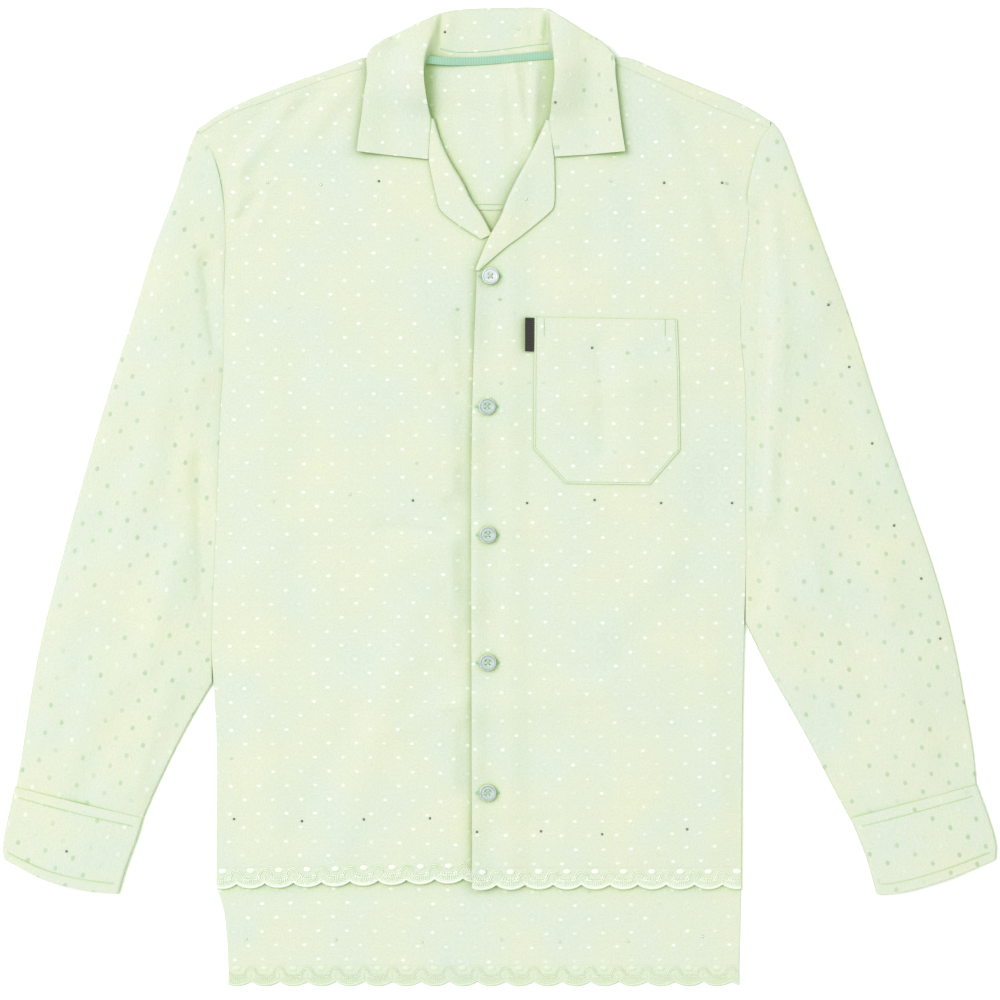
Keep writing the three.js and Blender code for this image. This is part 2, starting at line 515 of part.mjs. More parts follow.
// The collar: the stand climbs from the neck seam to the roll line, and the fall goes out across the
// fronts. Past the shoulders it turns under, and lies between the yoke and the surface
function collarGeometry(topUnder) {
  const step = (COLLAR.length - 1) / COLLAR_CELLS;
  const stations = Array.from({ length: COLLAR_CELLS + 1 }, (_, i) => i * step);
  const rows = stations.map((station) => {
    const get = (value) => collarAt(station, value);
    const [rollX, rollY] = [get((s) => s.roll[0]), get((s) => s.roll[1])];
    const [seamX, seamY] = [get((s) => s.seam[0]), get((s) => s.seam[1])];
    const heading = THREE.MathUtils.degToRad(get((s) => s.heading));
    const [rise, shows, under] = [get((s) => s.rise), get((s) => s.shows), Math.max(0, get((s) => s.under))];
    const side = topUnder(rollX);
    // beside the neck the collar lies on the fronts, behind it the stand is level with the yoke
    const ground = (x, y) => side(x, y) + 2 * SEAM + WALL / 2;
    const seamHeight = THREE.MathUtils.lerp(ground(seamX, seamY),
      backLower(seamX, seamY) + WALL / 2, ramp(...BEHIND_NECK.seam, seamY));
    const rollGround = ground(rollX, rollY);
    const rollHeight = THREE.MathUtils.lerp(rollGround, 2 * WALL, ramp(...BEHIND_NECK.roll, rollY)) + rise;
    const stand = ACROSS_STAND.map((t) => [
      seamX + t * (rollX - seamX), seamY + t * (rollY - seamY),
      THREE.MathUtils.lerp(seamHeight, rollHeight, Math.sin(t * Math.PI / 2)),
    ]);
    const fall = fallWidths(shows, under).map((width) => {
      const beyond = width - shows;
      const distance = shows + FOLD - Math.hypot(beyond, FOLD);
      const x = rollX + distance * Math.cos(heading);
      const y = rollY + distance * Math.sin(heading);
      const above = ground(x, y) + (rollHeight - rollGround) * Math.exp(-((width / ROLL_SPREAD) ** 2));
      const down = ramp(-FOLD, FOLD, beyond) * Math.min(1, under / FOLD / 2);
      return [x, y, THREE.MathUtils.lerp(above, WALL / 2, down)];
    });
    return [...stand, ...fall];
  });
  return thickened(rows, WALL);
}

// A sleeve: widest at the armhole, its inner edge against the body's side down to where it leaves it
function sleeveGeometry(lower, upper, left, right) {
  const air = (u, v, x, y) => {
    const middle = Math.sin(Math.PI * u) ** 0.8;
    const ends = 0.4 + 0.6 * Math.sin(Math.PI * v) ** 0.5;
    const folds = folded(x, y, SLEEVE_FOLDS) * ramp(0, 0.12, u) * ramp(0, 0.12, 1 - u);
    return Math.min(MOST_AIR, Math.max(0, SLEEVE_CROWN * middle * ends + folds));
  };
  return flatTube(plan(lower, upper, left, right), WALL, air);
}

const cuffAir = (u) => CUFF_CROWN * Math.sin(Math.PI * u);

// Lace along a hem: straight where it is sewn on, scalloped below
function laceGeometry([from, to], hem, firstPoint, lower) {
  const step = SCALLOP_PITCH / SCALLOP_STEPS;
  const start = Math.ceil((from + 1 - firstPoint) / step);
  const end = Math.floor((to - 1 - firstPoint) / step);
  const between = Array.from({ length: end - start + 1 }, (_, i) => firstPoint + (start + i) * step);
  const columns = [from, ...between, to];
  const scallop = (x) => Math.abs(Math.sin(Math.PI * (x - firstPoint) / SCALLOP_PITCH)) ** 0.6;
  const bottom = columns.map((x) => [x, hem - LACE_DEPTH + SCALLOP_DEPTH * (1 - scallop(x))]);
  const top = columns.map((x) => [x, hem - SEAM]);
  const grid = plan(bottom, top, run([bottom[0], top[0]], 1), run([bottom.at(-1), top.at(-1)], 1));
  return laid(grid, lower, (x, y) => lower(x, y) + LACE_WALL);
}

// A round four-hole button with a raised rim
function buttonGeometry() {
  const r = BUTTON_RADIUS;
  const t = BUTTON_THICKNESS;
  const profile = [[0, 0], [r - 0.7, 0], [r, 0.7], [r, t - 0.5], [r - 0.5, t], [r - 1.6, t], [r - 2.1, t - 0.5],
    [0, t - 0.5]];
  const disc = new THREE.LatheGeometry(profile.map(([x, y]) => new THREE.Vector2(x, y)), 18);
  disc.rotateX(Math.PI / 2);
  return [[1, 1], [1, -1], [-1, -1], [-1, 1]].reduce((solid, [x, y]) => {
    const hole = new THREE.CylinderGeometry(BUTTON_HOLE_RADIUS, BUTTON_HOLE_RADIUS, 3 * t, 6);
    hole.rotateX(Math.PI / 2).translate(x * BUTTON_HOLE_PITCH / 2, y * BUTTON_HOLE_PITCH / 2, 0);
    return solid.subtract(toSolid(hole));
  }, toSolid(disc));
}

// Height at which a button clears the cloth under the whole of it
function buttonSeat([x, y]) {
  const rim = Array.from({ length: 8 }, (_, i) => i * Math.PI / 4);
  return SEAM + Math.max(frontLeftTop(x, y), ...rim.map((a) =>
    frontLeftTop(x + BUTTON_RADIUS * Math.cos(a), y + BUTTON_RADIUS * Math.sin(a))));
}

addPiece('back', backGeometry(), 'cloth');
addPiece('yoke', yokeGeometry(), 'cloth');
addPiece('front_right', frontRightGeometry(), 'cloth');
const frontRightTop = topOf(shirt.children.at(-1).geometry, frontRightUpper);
addPiece('front_left', frontLeftGeometry(), 'cloth');
const frontLeftTop = topOf(shirt.children.at(-1).geometry, frontLeftUpper);
addPiece('lapel_right', lapelGeometry(LAPEL_RIGHT_EDGE, trimmed(run(reversed(ROLL_RIGHT), SEAM_CELLS.roll)),
  frontRightLower, frontRightTop, 1), 'cloth');
addPiece('lapel_left', lapelGeometry(LAPEL_LEFT_EDGE, trimmed(run(reversed(ROLL_LEFT), SEAM_CELLS.roll)),
  frontLeftLower, frontLeftTop, -1), 'cloth');
addPiece('collar', collarGeometry((x) => (x < NECK_CENTRE ? frontRightTop : frontLeftTop)), 'cloth');
addPiece('neck_tape', laid(plan(run(NECK_TAPE.lower, 8), run(NECK_TAPE.upper, 8),
  run([NECK_TAPE.lower[0], NECK_TAPE.upper[0]], 1), run([NECK_TAPE.lower.at(-1), NECK_TAPE.upper.at(-1)], 1)),
  (x, y) => backLower(x, y) + WALL + SEAM, (x, y) => backLower(x, y) + WALL + SEAM + NECK_TAPE.wall), 'tape');

addPiece('sleeve_right', sleeveGeometry(
  run([SLEEVE_RIGHT_OUTER.at(-1), SLEEVE_RIGHT_INNER.at(-1)], SEAM_CELLS.armhole + 1),
  [SLEEVE_RIGHT_OUTER[0], ...run(moved(ARMHOLE_RIGHT, -SLEEVE_OFF), SEAM_CELLS.armhole)],
  run(reversed(SLEEVE_RIGHT_OUTER), 18),
  edge(run(reversed(SLEEVE_RIGHT_INNER), 6),
    run([SLEEVE_RIGHT_INNER[0], ...reversed(moved(SIDE_RIGHT.slice(0, 5), -SLEEVE_OFF))], 12)),
), 'cloth');
addPiece('sleeve_left', sleeveGeometry(
  run([SLEEVE_LEFT_INNER.at(-1), SLEEVE_LEFT_OUTER.at(-1)], SEAM_CELLS.armhole + 1),
  [...run(moved(reversed(ARMHOLE_LEFT), SLEEVE_OFF), SEAM_CELLS.armhole), SLEEVE_LEFT_OUTER[0]],
  edge(run(reversed(SLEEVE_LEFT_INNER), 7),
    run([SLEEVE_LEFT_INNER[0], ...reversed(moved(SIDE_LEFT.slice(0, 4), SLEEVE_OFF))], 11)),
  run(reversed(SLEEVE_LEFT_OUTER), 18),
), 'cloth');
const cuffs = { cuff_right: CUFF_RIGHT, cuff_left: CUFF_LEFT };
Object.entries(cuffs).forEach(([name, { seam, edge: lower, left, right }]) => {
  const { across, along } = CUFF_CELLS;
  const grid = plan(run(lower, across), run(seam, across),
    run([lower[0], ...left, seam[0]], along), run([lower.at(-1), ...right, seam[1]], along));
  addPiece(name, flatTube(grid, CUFF_WALL, cuffAir), 'cloth');
});

// The pocket and its tab lie on the highest cloth near each of their points
const NEARBY = [-5, 0, 5];
const overFront = (x, y) => SEAM + Math.max(...NEARBY.map((aside) => frontLeftTop(x + aside, y)));
addPiece('pocket', laid(plan(
  edge(run([POCKET.left.at(-1), POCKET.bottom[0]], 2), run(POCKET.bottom, 4),
    run([POCKET.bottom[1], POCKET.right.at(-1)], 2)),
  run(POCKET.top, 8), run([...reversed(POCKET.left), POCKET.top[0]], 7),
  run([...reversed(POCKET.right), POCKET.top[1]], 7)), overFront, (x, y) => overFront(x, y) + WALL), 'cloth');
const labelRow = (y) => run([[LABEL.x, y], [LABEL.x + LABEL.width, y]], 2);
addPiece('side_label', laid([0, 0.25, 0.5, 0.75, 1].map((t) => labelRow(LABEL.y + t * LABEL.length)),
  overFront, (x, y) => overFront(x, y) + LABEL.wall), 'tab');

const button = buttonGeometry();
BUTTONS.forEach(([x, y], i) => {
  addPiece(`button_${i + 1}`, fromSolid(button), 'button');
  shirt.children.at(-1).position.set(x, y, buttonSeat([x, y]));
});

addPiece('lace_front_right', laceGeometry([SIDE_RIGHT.at(-1)[0], UNDERLAP_EDGE], FRONT_HEM,
  FIRST_POINT.frontRight, frontRightLower), 'lace');
addPiece('lace_front_left', laceGeometry([PLACKET_EDGE, SIDE_LEFT.at(-1)[0]], FRONT_HEM,
  FIRST_POINT.frontLeft, frontLeftLower), 'lace');
addPiece('lace_back', laceGeometry([BACK_SIDE_RIGHT.at(-1)[0], BACK_SIDE_LEFT.at(-1)[0]], BACK_HEM,
  FIRST_POINT.back, level(0)), 'lace');

// The origin is under the middle of the whole shirt
const box = new THREE.Box3().setFromObject(shirt);
const middle = box.getCenter(new THREE.Vector3());
shirt.position.set(-middle.x, -middle.y, -box.min.z);

export default shirt;
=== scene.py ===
"""The looks of a long-sleeved shirt with a camp collar and lace hems, laid flat, front up.

Sizes are millimetres in the shirt's own frame, until put() takes them to the metres of the packed
one. +X is to the right of someone looking down at the shirt, +Y towards the collar, +Z up. Right
and left in the names are the wearer's.
"""
import math

import bpy
import numpy as np
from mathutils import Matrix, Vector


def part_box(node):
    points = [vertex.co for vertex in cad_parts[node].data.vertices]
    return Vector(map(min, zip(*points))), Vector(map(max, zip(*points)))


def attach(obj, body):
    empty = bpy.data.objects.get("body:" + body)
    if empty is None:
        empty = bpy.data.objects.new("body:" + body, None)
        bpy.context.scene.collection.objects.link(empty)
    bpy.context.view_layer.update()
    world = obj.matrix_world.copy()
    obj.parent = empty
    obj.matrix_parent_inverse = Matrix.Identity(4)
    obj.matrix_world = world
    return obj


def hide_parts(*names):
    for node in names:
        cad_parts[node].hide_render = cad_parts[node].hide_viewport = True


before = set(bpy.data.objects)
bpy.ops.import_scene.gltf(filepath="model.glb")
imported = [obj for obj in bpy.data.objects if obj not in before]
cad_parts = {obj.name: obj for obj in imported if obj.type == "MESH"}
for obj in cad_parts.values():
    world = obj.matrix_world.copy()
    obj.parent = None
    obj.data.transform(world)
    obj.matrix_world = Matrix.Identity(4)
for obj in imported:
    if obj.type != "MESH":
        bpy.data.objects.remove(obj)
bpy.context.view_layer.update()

MM = 0.001

# The view: straight down, as a photograph of 1000 by 1000 pixels
PICTURE = 1000
PIXEL, PIXEL_HEIGHT = 0.82, 3   # mm of shirt to a pixel, and the height in mm where that is so
MIDDLE = (0.41, -2.05)          # point of the shirt under the middle of the picture
LENS, SENSOR = 85, 36

# Cloth and how its layers lie
WALL = 1.1                      # one layer of cloth, with its turned-in edges
POCKET_WALL = 0.75              # its pressed edges look thinner
POCKET_GAP = 0.1                # how close it lies to the front
SEAM = 0.3
LAYER = 0.4                     # air between two layers
FRONT_CLEAR = 0.35              # what the fronts keep off the back and yoke besides
CROWN = 1.9                     # how far the front stands off the back between its side seams
BODY_CENTRE, BODY_HALF = -16, 214
NECK_CENTRE = -8
FRONT_HEM, BACK_HEM, YOKE_SEAM = -303, -384, 236
PLACKET_EDGE, UNDERLAP_EDGE = -22.5, 4.5
SLEEVE_CROWN, SLEEVE_TUCK = 3.4, 0.6   # a sleeve's edge goes this far in under the body's
CUFF_WALL, CUFF_CROWN = 1.5, 1.8
FOLD = 2.2                      # half the width of the collar's turned edge
YOKE_TURN = 2.05                # depth of the yoke's turn over a shoulder
BUTTON_RADIUS, BUTTON_THICKNESS = 6.75, 2.6
HOLE_RADIUS, HOLE_AWAY = 0.6, 2.05   # a button's holes, and how far they are from its middle

# What the flat pieces measure beyond their plans: the yoke's way over the shoulder fold to its seam,
# and how much longer the collar and a lapel are than their roll lines
YOKE_PAST_FOLD, COLLAR_EXTRA, LAPEL_EXTRA = 16, 40, 4
LABEL = {"x": 20.9, "y": 119.5, "width": 7.4, "length": 27.6, "wall": 0.9}
SHIFT = np.array([*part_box("side_label")[0]]) * [1, 1, 0] - np.array([LABEL["x"], LABEL["y"], 0]) * MM

# Weave: satin dots on a staggered lattice
DOT_PITCH = 23.1
DOT_SIZE = (1.8, 1.4)           # half its width and height
SLEEVE_DOT_SIZE = (2.1, 1.7)
RING_RADII = (5.4, 6.8)

# Lace
LACE_DEPTH, SCALLOP_PITCH, SCALLOP_DEPTH = 18, 23.2, 4.5
FIRST_POINT = {"front_right": -215.5, "front_left": -2.5, "back": -204}

# Seams and edges, as in the solids
ARMHOLE_RIGHT_YOKE = [(-246, 298.5), (-238, 286.5), (-231, 266), (-227, 242.5), (-226.5, YOKE_SEAM)]
ARMHOLE_RIGHT_BACK = [(-226.5, YOKE_SEAM), (-225, 211), (-226, 183.5)]
ARMHOLE_RIGHT = ARMHOLE_RIGHT_YOKE + ARMHOLE_RIGHT_BACK[1:]
ARMHOLE_LEFT_YOKE = [(222, 303), (216, 295.5), (208, 271), (204, 249), (204, YOKE_SEAM)]
ARMHOLE_LEFT_BACK = [(204, YOKE_SEAM), (203.5, 217.5), (201, 202), (198, 170), (197.5, 133)]
ARMHOLE_LEFT = ARMHOLE_LEFT_YOKE + ARMHOLE_LEFT_BACK[1:]
SIDE_RIGHT = [(-226, 183.5), (-226, 121), (-228.5, 77.5), (-232.5, -26.5), (-236, -125), (-234, -158),
              (-232, -199), (-232, -303)]
SIDE_LEFT = [(197.5, 133), (201.5, 88), (201.5, -10), (202, -47), (199, -166), (198, -303)]
ROLL_RIGHT = [(-56, 310), (-51, 292.5), (-43, 274.5), (-32.5, 257), (-25, 242.5), (-16, 230), (-7.5, 215)]
ROLL_LEFT = [(40.5, 308.5), (33.5, 292.5), (26.5, 278), (15.5, 257), (8.5, 242.5), (3.5, 230), (-7.5, 211),
             (-14.5, 195), (-18.5, 185.5)]
NECKLINE_RIGHT = [(-71, 363.5), (-68.5, 340.5), (-64.5, 325), (-56, 310)]
NECKLINE_LEFT = [(51, 368.5), (51, 342.5), (47, 325), (40.5, 308.5)]
SHOULDER_SEAM_RIGHT = [(-246, 298.5), (-220.5, 314.5), (-186, 327), (-151.5, 340), (-120.5, 349.5),
                       (-71, 363.5)]
SHOULDER_SEAM_LEFT = [(51, 368.5), (92, 356.5), (125, 343), (159.5, 327), (191, 314.5), (222, 303)]
SHOULDER_FOLD_RIGHT = [(-247, 302.5), (-227.5, 316), (-181.5, 336), (-144.5, 349), (-116, 359),
                       (-105.5, 361), (-85.5, 368), (-67, 377)]
SHOULDER_FOLD_LEFT = [(49.5, 381), (74, 368.5), (91.5, 361), (105.5, 360.5), (134, 349), (167.5, 336),
                      (199.5, 322.5), (222, 309)]
LAPEL_RIGHT_EDGE = [(-15, 211.5), (-36, 225), (-48.5, 236), (-52, 248), (-58, 276)]
LAPEL_LEFT_EDGE = [(-17, 185.5), (3.5, 203.5), (17.5, 214), (40.5, 233), (44, 237.5), (45, 265.5),
                   (44.5, 278.5)]
SLEEVE_RIGHT_OUTER = [(-248, 301.5), (-254, 288), (-265.5, 252), (-284, 203), (-299, 154), (-322.5, 80),
                      (-344, 6), (-363.5, -67.5), (-376, -117), (-385, -166), (-392.5, -215), (-397, -239.5)]
SLEEVE_RIGHT_INNER = [(-235.5, -152), (-258, -190.5), (-282.5, -240), (-293.5, -265.5)]
SLEEVE_LEFT_OUTER = [(223.5, 308.5), (230, 300.5), (249, 252), (267, 203), (285, 154), (308.5, 80),
                     (334, 6), (359, -67.5), (372, -117), (381.5, -166), (388.5, -207), (391.5, -237.5)]
SLEEVE_LEFT_INNER = [(201.5, -102), (221, -141.5), (249, -190.5), (275, -240), (288.5, -265)]
CUFF_RIGHT = {
    "seam": [(-397.5, -237.5), (-292.5, -263)],
    "edge": [(-406.5, -296.5), (-372.5, -313.5), (-341.5, -321.5), (-312.5, -325)],
    "left": [(-407.5, -287.5), (-400, -248)], "right": [(-306.5, -304.5), (-296.5, -277)],
}
CUFF_LEFT = {
    "seam": [(288, -263), (391.5, -235.5)],
    "edge": [(309.5, -325.5), (327, -324), (367, -312.5), (407, -296.5)],
    "left": [(300.5, -294)], "right": [(407.5, -285), (401.5, -263)],
}
POCKET = {
    "top": [(29, 147.5), (145.5, 145.5)], "right": [(147, 105.5), (148, 39)],
    "left": [(28.5, 110.5), (28, 40)], "bottom": [(54.5, 11.5), (123, 10.5)],
}
BUTTONS = [(-7.5, 181), (-10, 74.5), (-9.5, -30.5), (-9.5, -135), (-9.5, -241.5)]
TAPE_UPPER = [(-62, 361.9), (-44.5, 360.6), (-18, 361), (1.5, 362.4), (23.5, 364.5), (45, 366.2)]
TAPE_WIDTH = 6.4
STAND_STITCHES = [(-48, 367.7), (-36, 365.3), (-13, 365.6), (1.5, 367.2), (14.5, 369.1), (29, 371.1),
                  (40.5, 371.9)]
YOKE_NECK = [(-65.5, 349.5), (-58.5, 358.5), (-49, 361.8), (-28.5, 362.5), (-3.5, 362.5), (21.5, 364),
             (34, 365.5), (41, 365), (48.5, 351)]
BACK_SIDE_RIGHT = [(-231.5, -321), (-226.5, -338), (-223.5, -363), (-222.5, -384)]
BACK_SIDE_LEFT = [(198, -321), (197.5, -338), (197, -363), (196.5, -384)]

# Soft ridges (height above 0) and troughs: (x, y) where one starts and ends, width and height
FRONT_FOLDS = [
    (-170, 324, -212, 270, 7, 1.6), (-212, 270, -216, 235, 7, 1.3), (-150, 330, -190, 300, 7, -1.2),
    (-192, 316, -225, 282, 7, -1.2), (-126.5, 338, -160, 290, 8, 0.9), (-110, 342, -140, 300, 8, -0.7),
    (-163.5, 121, -163.5, -125, 16, -0.9), (-81.5, -51, -24, -26.5, 12, 0.8),
    (-73.5, -100.5, -135, -305.5, 15, 1.0), (-98, -195, -24, -166, 12, 0.8),
    (84, 122, 87, 40, 9, -1.3), (108.5, 129, 110.5, 35, 12, 1.1),
    (199, 113, 49.5, 78.5, 12, 0.8), (82.5, 244, 72.5, 190.5, 12, -0.7),
    (140, -51, 82.5, -117, 16, 0.9), (-16, -176, 82.5, -158, 12, 0.8),
    (-199, 246, -218, 218, 4.5, -1.7), (-186, 262, -205, 222, 7, 0.8), (-219.5, 161, -203, 134, 6, 0.8),
    (-98, -24, -24, -31, 5, -1.2), (-60, -140, -25, -160, 7, -0.9), (-40, -4, -24, -25, 4.5, -2.6),
    (-62, -22, -24, -30, 5, 1.2), (-31, -40, -29, -80, 5, -1.8), (-30, 20, -29, -10, 5, -1.5),
    (-50, 104, -26, 66, 5, -1.1), (-48, -78, -26, -104, 5, -1.2),
    (-33, 150, -29, 90, 5, -1.4), (-32, 60, -30, 0, 5, -1.1), (-30, -50, -31, -130, 5, -1.4),
    (-31, -190, -30, -240, 5, -1.3), (-44, 100, -28, 92, 4, 0.8), (-46, -20, -28, -24, 4, -0.9),
    (-48, -172, -28, -166, 4, 0.8), (-44, -205, -28, -214, 4, -0.9), (-50, -262, -26, -286, 9, 0.8),
    (-120, 60, -60, 40, 14, 0.5),
    (-200, 40, -150, 90, 18, 0.6), (-205, -60, -165, -20, 16, 0.6), (-120, -180, -170, -280, 12, -0.7),
    (-90, 200, -150, 130, 20, 0.6), (-70, 150, -45, 40, 16, 0.5), (-200, -180, -180, -290, 13, 0.7),
    (111, 285, 112, 205, 14, -0.6), (160, 230, 185, 140, 15, 0.7), (120, 200, 60, 170, 12, 0.5),
    (30, -20, 90, -60, 14, 0.6), (180, 20, 150, -80, 16, -0.7), (60, -220, 130, -270, 15, 0.7),
    (170, -140, 185, -280, 14, 0.8), (-6, -272, 40, -268, 9, -0.6), (40, 130, 56, 20, 9, 0.4),
    (20, 30, 70, 0, 10, 0.5), (100, -130, 160, -190, 14, -0.6), (10, 110, 22, 20, 9, -0.4),
    (120, 330, 190, 246, 11, 0.9), (96, 338, 152, 236, 10, -0.8), (150, 306, 192, 200, 8, -1.0),
]
SLEEVE_FOLDS = [
    (-240.5, 193, -230, 129, 7, -3.6), (-268.5, 162, -286.5, 14.5, 14, 1.0),
    (-254, 63.5, -311, -117, 16, -1.2), (209, 232, 208, -84, 9, -3.2),
    (222, 240, 231, 160, 8, 1.2), (229, 137.5, 216, -18, 10, 2.4), (-246, 30, -242, -75, 7, -1.9),
    (246.5, -117, 295.5, -231.5, 14, -1.2),
    (312, -51, 353, -199, 16, 1.1), (-262, 232, -290, 120, 9, 0.8), (-248, 96, -262, 10, 8, 0.9),
    (-300, 60, -330, -40, 12, -0.8), (-262, -40, -290, -140, 10, 0.9), (-340, -60, -372, -190, 12, 0.9),
    (-300, -160, -345, -250, 11, -1.0), (-268, -150, -300, -238, 8, 0.8), (-330, -130, -352, -220, 8, 0.5),
    (240, 240, 262, 150, 10, 0.9), (262, 120, 300, 20, 11, -0.8), (238, 0, 262, -70, 9, 0.9),
    (290, 10, 322, -90, 11, 0.8), (270, -60, 306, -160, 10, -0.9), (330, -110, 366, -215, 10, -0.8),
    (262, -150, 292, -240, 7, 0.9), (225, -60, 250, -150, 8, 0.9), (222, 70, 236, -10, 7, -0.8),
]
BACK_FOLDS = [
    (-135, -330, -134, -384, 6, 0.5), (-200, -340, 150, -332, 9, 0.4), (60, -322, 90, -384, 12, 0.5),
    (-40, -340, -20, -384, 10, 0.4), (-16, 236, -17, 190, 2.2, 0.7), (-8, 236, -9, 196, 2.0, 0.6),
    (0, 236, 1, 190, 2.4, 0.7), (140, -330, 160, -384, 9, 0.5),
]
STAND_FOLDS = [
    (-47.5, 396, -50, 367, 3.2, -1.3), (-41, 396, -42, 370, 4, 0.7), (40.3, 397, 38.3, 374, 3.0, -2.2),
    (33, 394, 32, 376, 3.5, 1.0), (26, 382, 27, 370, 2.5, -0.7), (13.5, 386, 15.5, 369, 3.5, -0.7),
    (20, 392, 21, 372, 4, 0.5), (-20, 390, -18, 372, 6, 0.3),
]
YOKE_FOLDS = [
    (-50, 345, -47, 270, 7, 0.9), (11, 354, 22, 290, 5, 2.1), (29, 348, 26, 272, 4.5, 1.9),
    (-30, 300, -10, 250, 14, 0.6), (0, 340, 2, 290, 6, 0.8),
]

# The collar at stations from one leaf's end round the neck to the other's: roll line, neck seam, way
# out across the leaf in degrees from +X, height of the roll, how far the leaf shows, and is turned under
COLLAR_COLUMNS = ("roll_x", "roll_y", "seam_x", "seam_y", "heading", "rise", "shows", "under")
COLLAR = [
    (-60, 277, -58.5, 277, 174, 0.6, 57, 0), (-58.5, 293, -57, 293.5, 178, 0.9, 57, 0),
    (-57.5, 310.5, -56, 310, 180, 2.4, 55.5, 0), (-59.5, 326, -62.5, 325, 180, 7, 51.5, 0),
    (-61.5, 342.5, -65.5, 340.5, 178, 10, 46.5, 0), (-61.5, 359, -60.5, 356.5, 172, 11, 44.5, 0),
    (-58, 372.5, -57, 359.5, 156, 9.5, 23, 24), (-53.5, 386, -51, 361, 138, 6.5, 8, 42),
    (-47, 396.5, -43, 361.5, 118, 3.2, 0.5, 52), (-30.5, 400, -28.5, 362, 92, 1.5, 0, 55),
    (-3.5, 401, -3.5, 362, 90, 1.3, 0, 55), (23.5, 401.5, 21.5, 363.5, 88, 1.5, 0, 55),
    (38.5, 399, 34, 365, 66, 3.2, 1.5, 52), (42, 386.5, 39, 365.5, 44, 6.5, 10.5, 40),
    (43.5, 373.5, 42, 363.5, 24, 9.5, 24.5, 24), (44.5, 359, 45, 359, 6, 11, 47, 0),
    (44.5, 342.5, 48.5, 341.5, 2, 10, 50, 0), (42.5, 324.5, 46, 324.5, 0, 7, 54.5, 0),
    (42, 308.5, 40.5, 308.5, 0, 2.4, 57, 0), (44.5, 293, 43, 293, 2, 0.9, 56.5, 0),
    (47, 279, 45.5, 279, 4, 0.6, 56, 0),
]

# Set stones that look dark, and pale ones, in the photograph's pixels
DARK_STONES = [
    (379, 181.5), (664, 183), (722, 183), (413, 500.5), (527, 503), (594.5, 500), (661, 503), (732, 503),
    (592, 348), (234, 819), (302, 821), (364, 819), (430, 818), (477, 831), (541, 831), (602, 834),
    (687, 829), (445, 32.5), (555, 104.5), (67, 851), (828, 305), (849, 367), (872, 443.5),
    (894, 525.5), (921, 578.5), (940, 638.5),
]
PALE_STONES = [
    (268, 183), (321, 185), (273.5, 501), (350, 494.5), (519, 29), (526, 200), (610.5, 181), (810, 245),
    (668, 349.5), (246, 939.5), (336, 940), (422, 942.7), (501.6, 940), (560, 942), (628, 942), (703, 937),
]
STONE_RADIUS = 1.05


def from_pixel(x, y):
    """Place on the shirt of a pixel of the photograph."""
    return (x - PICTURE / 2) * PIXEL + MIDDLE[0], (PICTURE / 2 - y) * PIXEL + MIDDLE[1]


# Shapes: numbers and curves

def ramp(a, b, value):
    """Smooth step from 0 at a to 1 at b: 3 t squared less 2 t cubed."""
    t = np.clip((value - a) / (b - a), 0, 1)
    return t * t * (3 - 2 * t)


def folded(x, y, folds):
    """Sum of soft folds: height times e to the minus square of (distance to the fold's line / width)."""
    total = np.zeros(np.broadcast(x, y).shape)
    for ax, ay, bx, by, width, height in folds:
        t = np.clip(((x - ax) * (bx - ax) + (y - ay) * (by - ay)) / ((bx - ax) ** 2 + (by - ay) ** 2), 0, 1)
        distance = np.hypot(x - ax - t * (bx - ax), y - ay - t * (by - ay))
        total = total + height * np.exp(-((distance / width) ** 2))
    return total


def slack(x, y):
    """Slight unevenness of cloth at rest: three crossing waves of about 50 to 110 mm."""
    return (0.22 * np.sin(x / 17 + 1.3 * np.sin(y / 41)) + 0.18 * np.sin(y / 13 + 0.9 * np.sin(x / 29) + 1)
            + 0.16 * np.sin((x + y) / 9.5 + 1.7 * np.sin(y / 23)))


def lengths(path):
    """Length of a path up to each of its points."""
    return np.concatenate([[0], np.cumsum(np.linalg.norm(np.diff(path, axis=0), axis=1))])


def unit(ways):
    """Ways made 1 long."""
    return ways / np.linalg.norm(ways, axis=-1, keepdims=True)


def run(points, cells):
    """Evenly spaced points on a centripetal Catmull-Rom curve: a cubic between each two given points,
    whose slopes weigh the chords on either side by the square roots of their lengths."""
    p = np.array(points, float)
    p = np.vstack([2 * p[0] - p[1], p, 2 * p[-1] - p[-2]])
    root = np.sqrt(np.linalg.norm(np.diff(p, axis=0), axis=1))[:, None]
    before, here, after = root[:-2], root[1:-1], root[2:]
    first, second = p[1:-2], p[2:-1]
    step = second - first
    slope = ((first - p[:-3]) / before - (second - p[:-3]) / (before + here)) * here + step
    next_slope = ((p[3:] - second) / after - (p[3:] - first) / (here + after)) * here + step
    t = np.linspace(0, 1, 60)[:, None, None]
    curve = (first + slope * t + (3 * step - 2 * slope - next_slope) * t ** 2
             + (slope + next_slope - 2 * step) * t ** 3)
    curve = np.swapaxes(curve, 0, 1).reshape(-1, p.shape[1])
    length = lengths(curve)
    at = np.linspace(0, length[-1], cells + 1)
    return np.stack([np.interp(at, length, curve[:, k]) for k in range(p.shape[1])], -1)


def edge(*runs):
    """Runs that meet at corners, as one."""
    return np.vstack([runs[0], *[part[1:] for part in runs[1:]]])


def moved(points, dx):
    """Points moved across."""
    return [(x + dx, y) for x, y in points]


def fractions(points):
    """How far along its edge each point lies, from 0 to 1."""
    length = lengths(points)
    return length / length[-1]


def plan(lower, upper, left, right):
    """Coons patch: lower and upper run left to right, left and right run upwards. A point is the mean
    across plus the mean upwards, less the corners' own mean."""
    s = ((fractions(lower) + fractions(upper)) / 2)[None, :, None]
    t = ((fractions(left) + fractions(right)) / 2)[:, None, None]
    return ((1 - t) * lower[None] + t * upper[None] + (1 - s) * left[:, None] + s * right[:, None]
            - (1 - t) * ((1 - s) * lower[0] + s * lower[-1]) - t * ((1 - s) * upper[0] + s * upper[-1]))


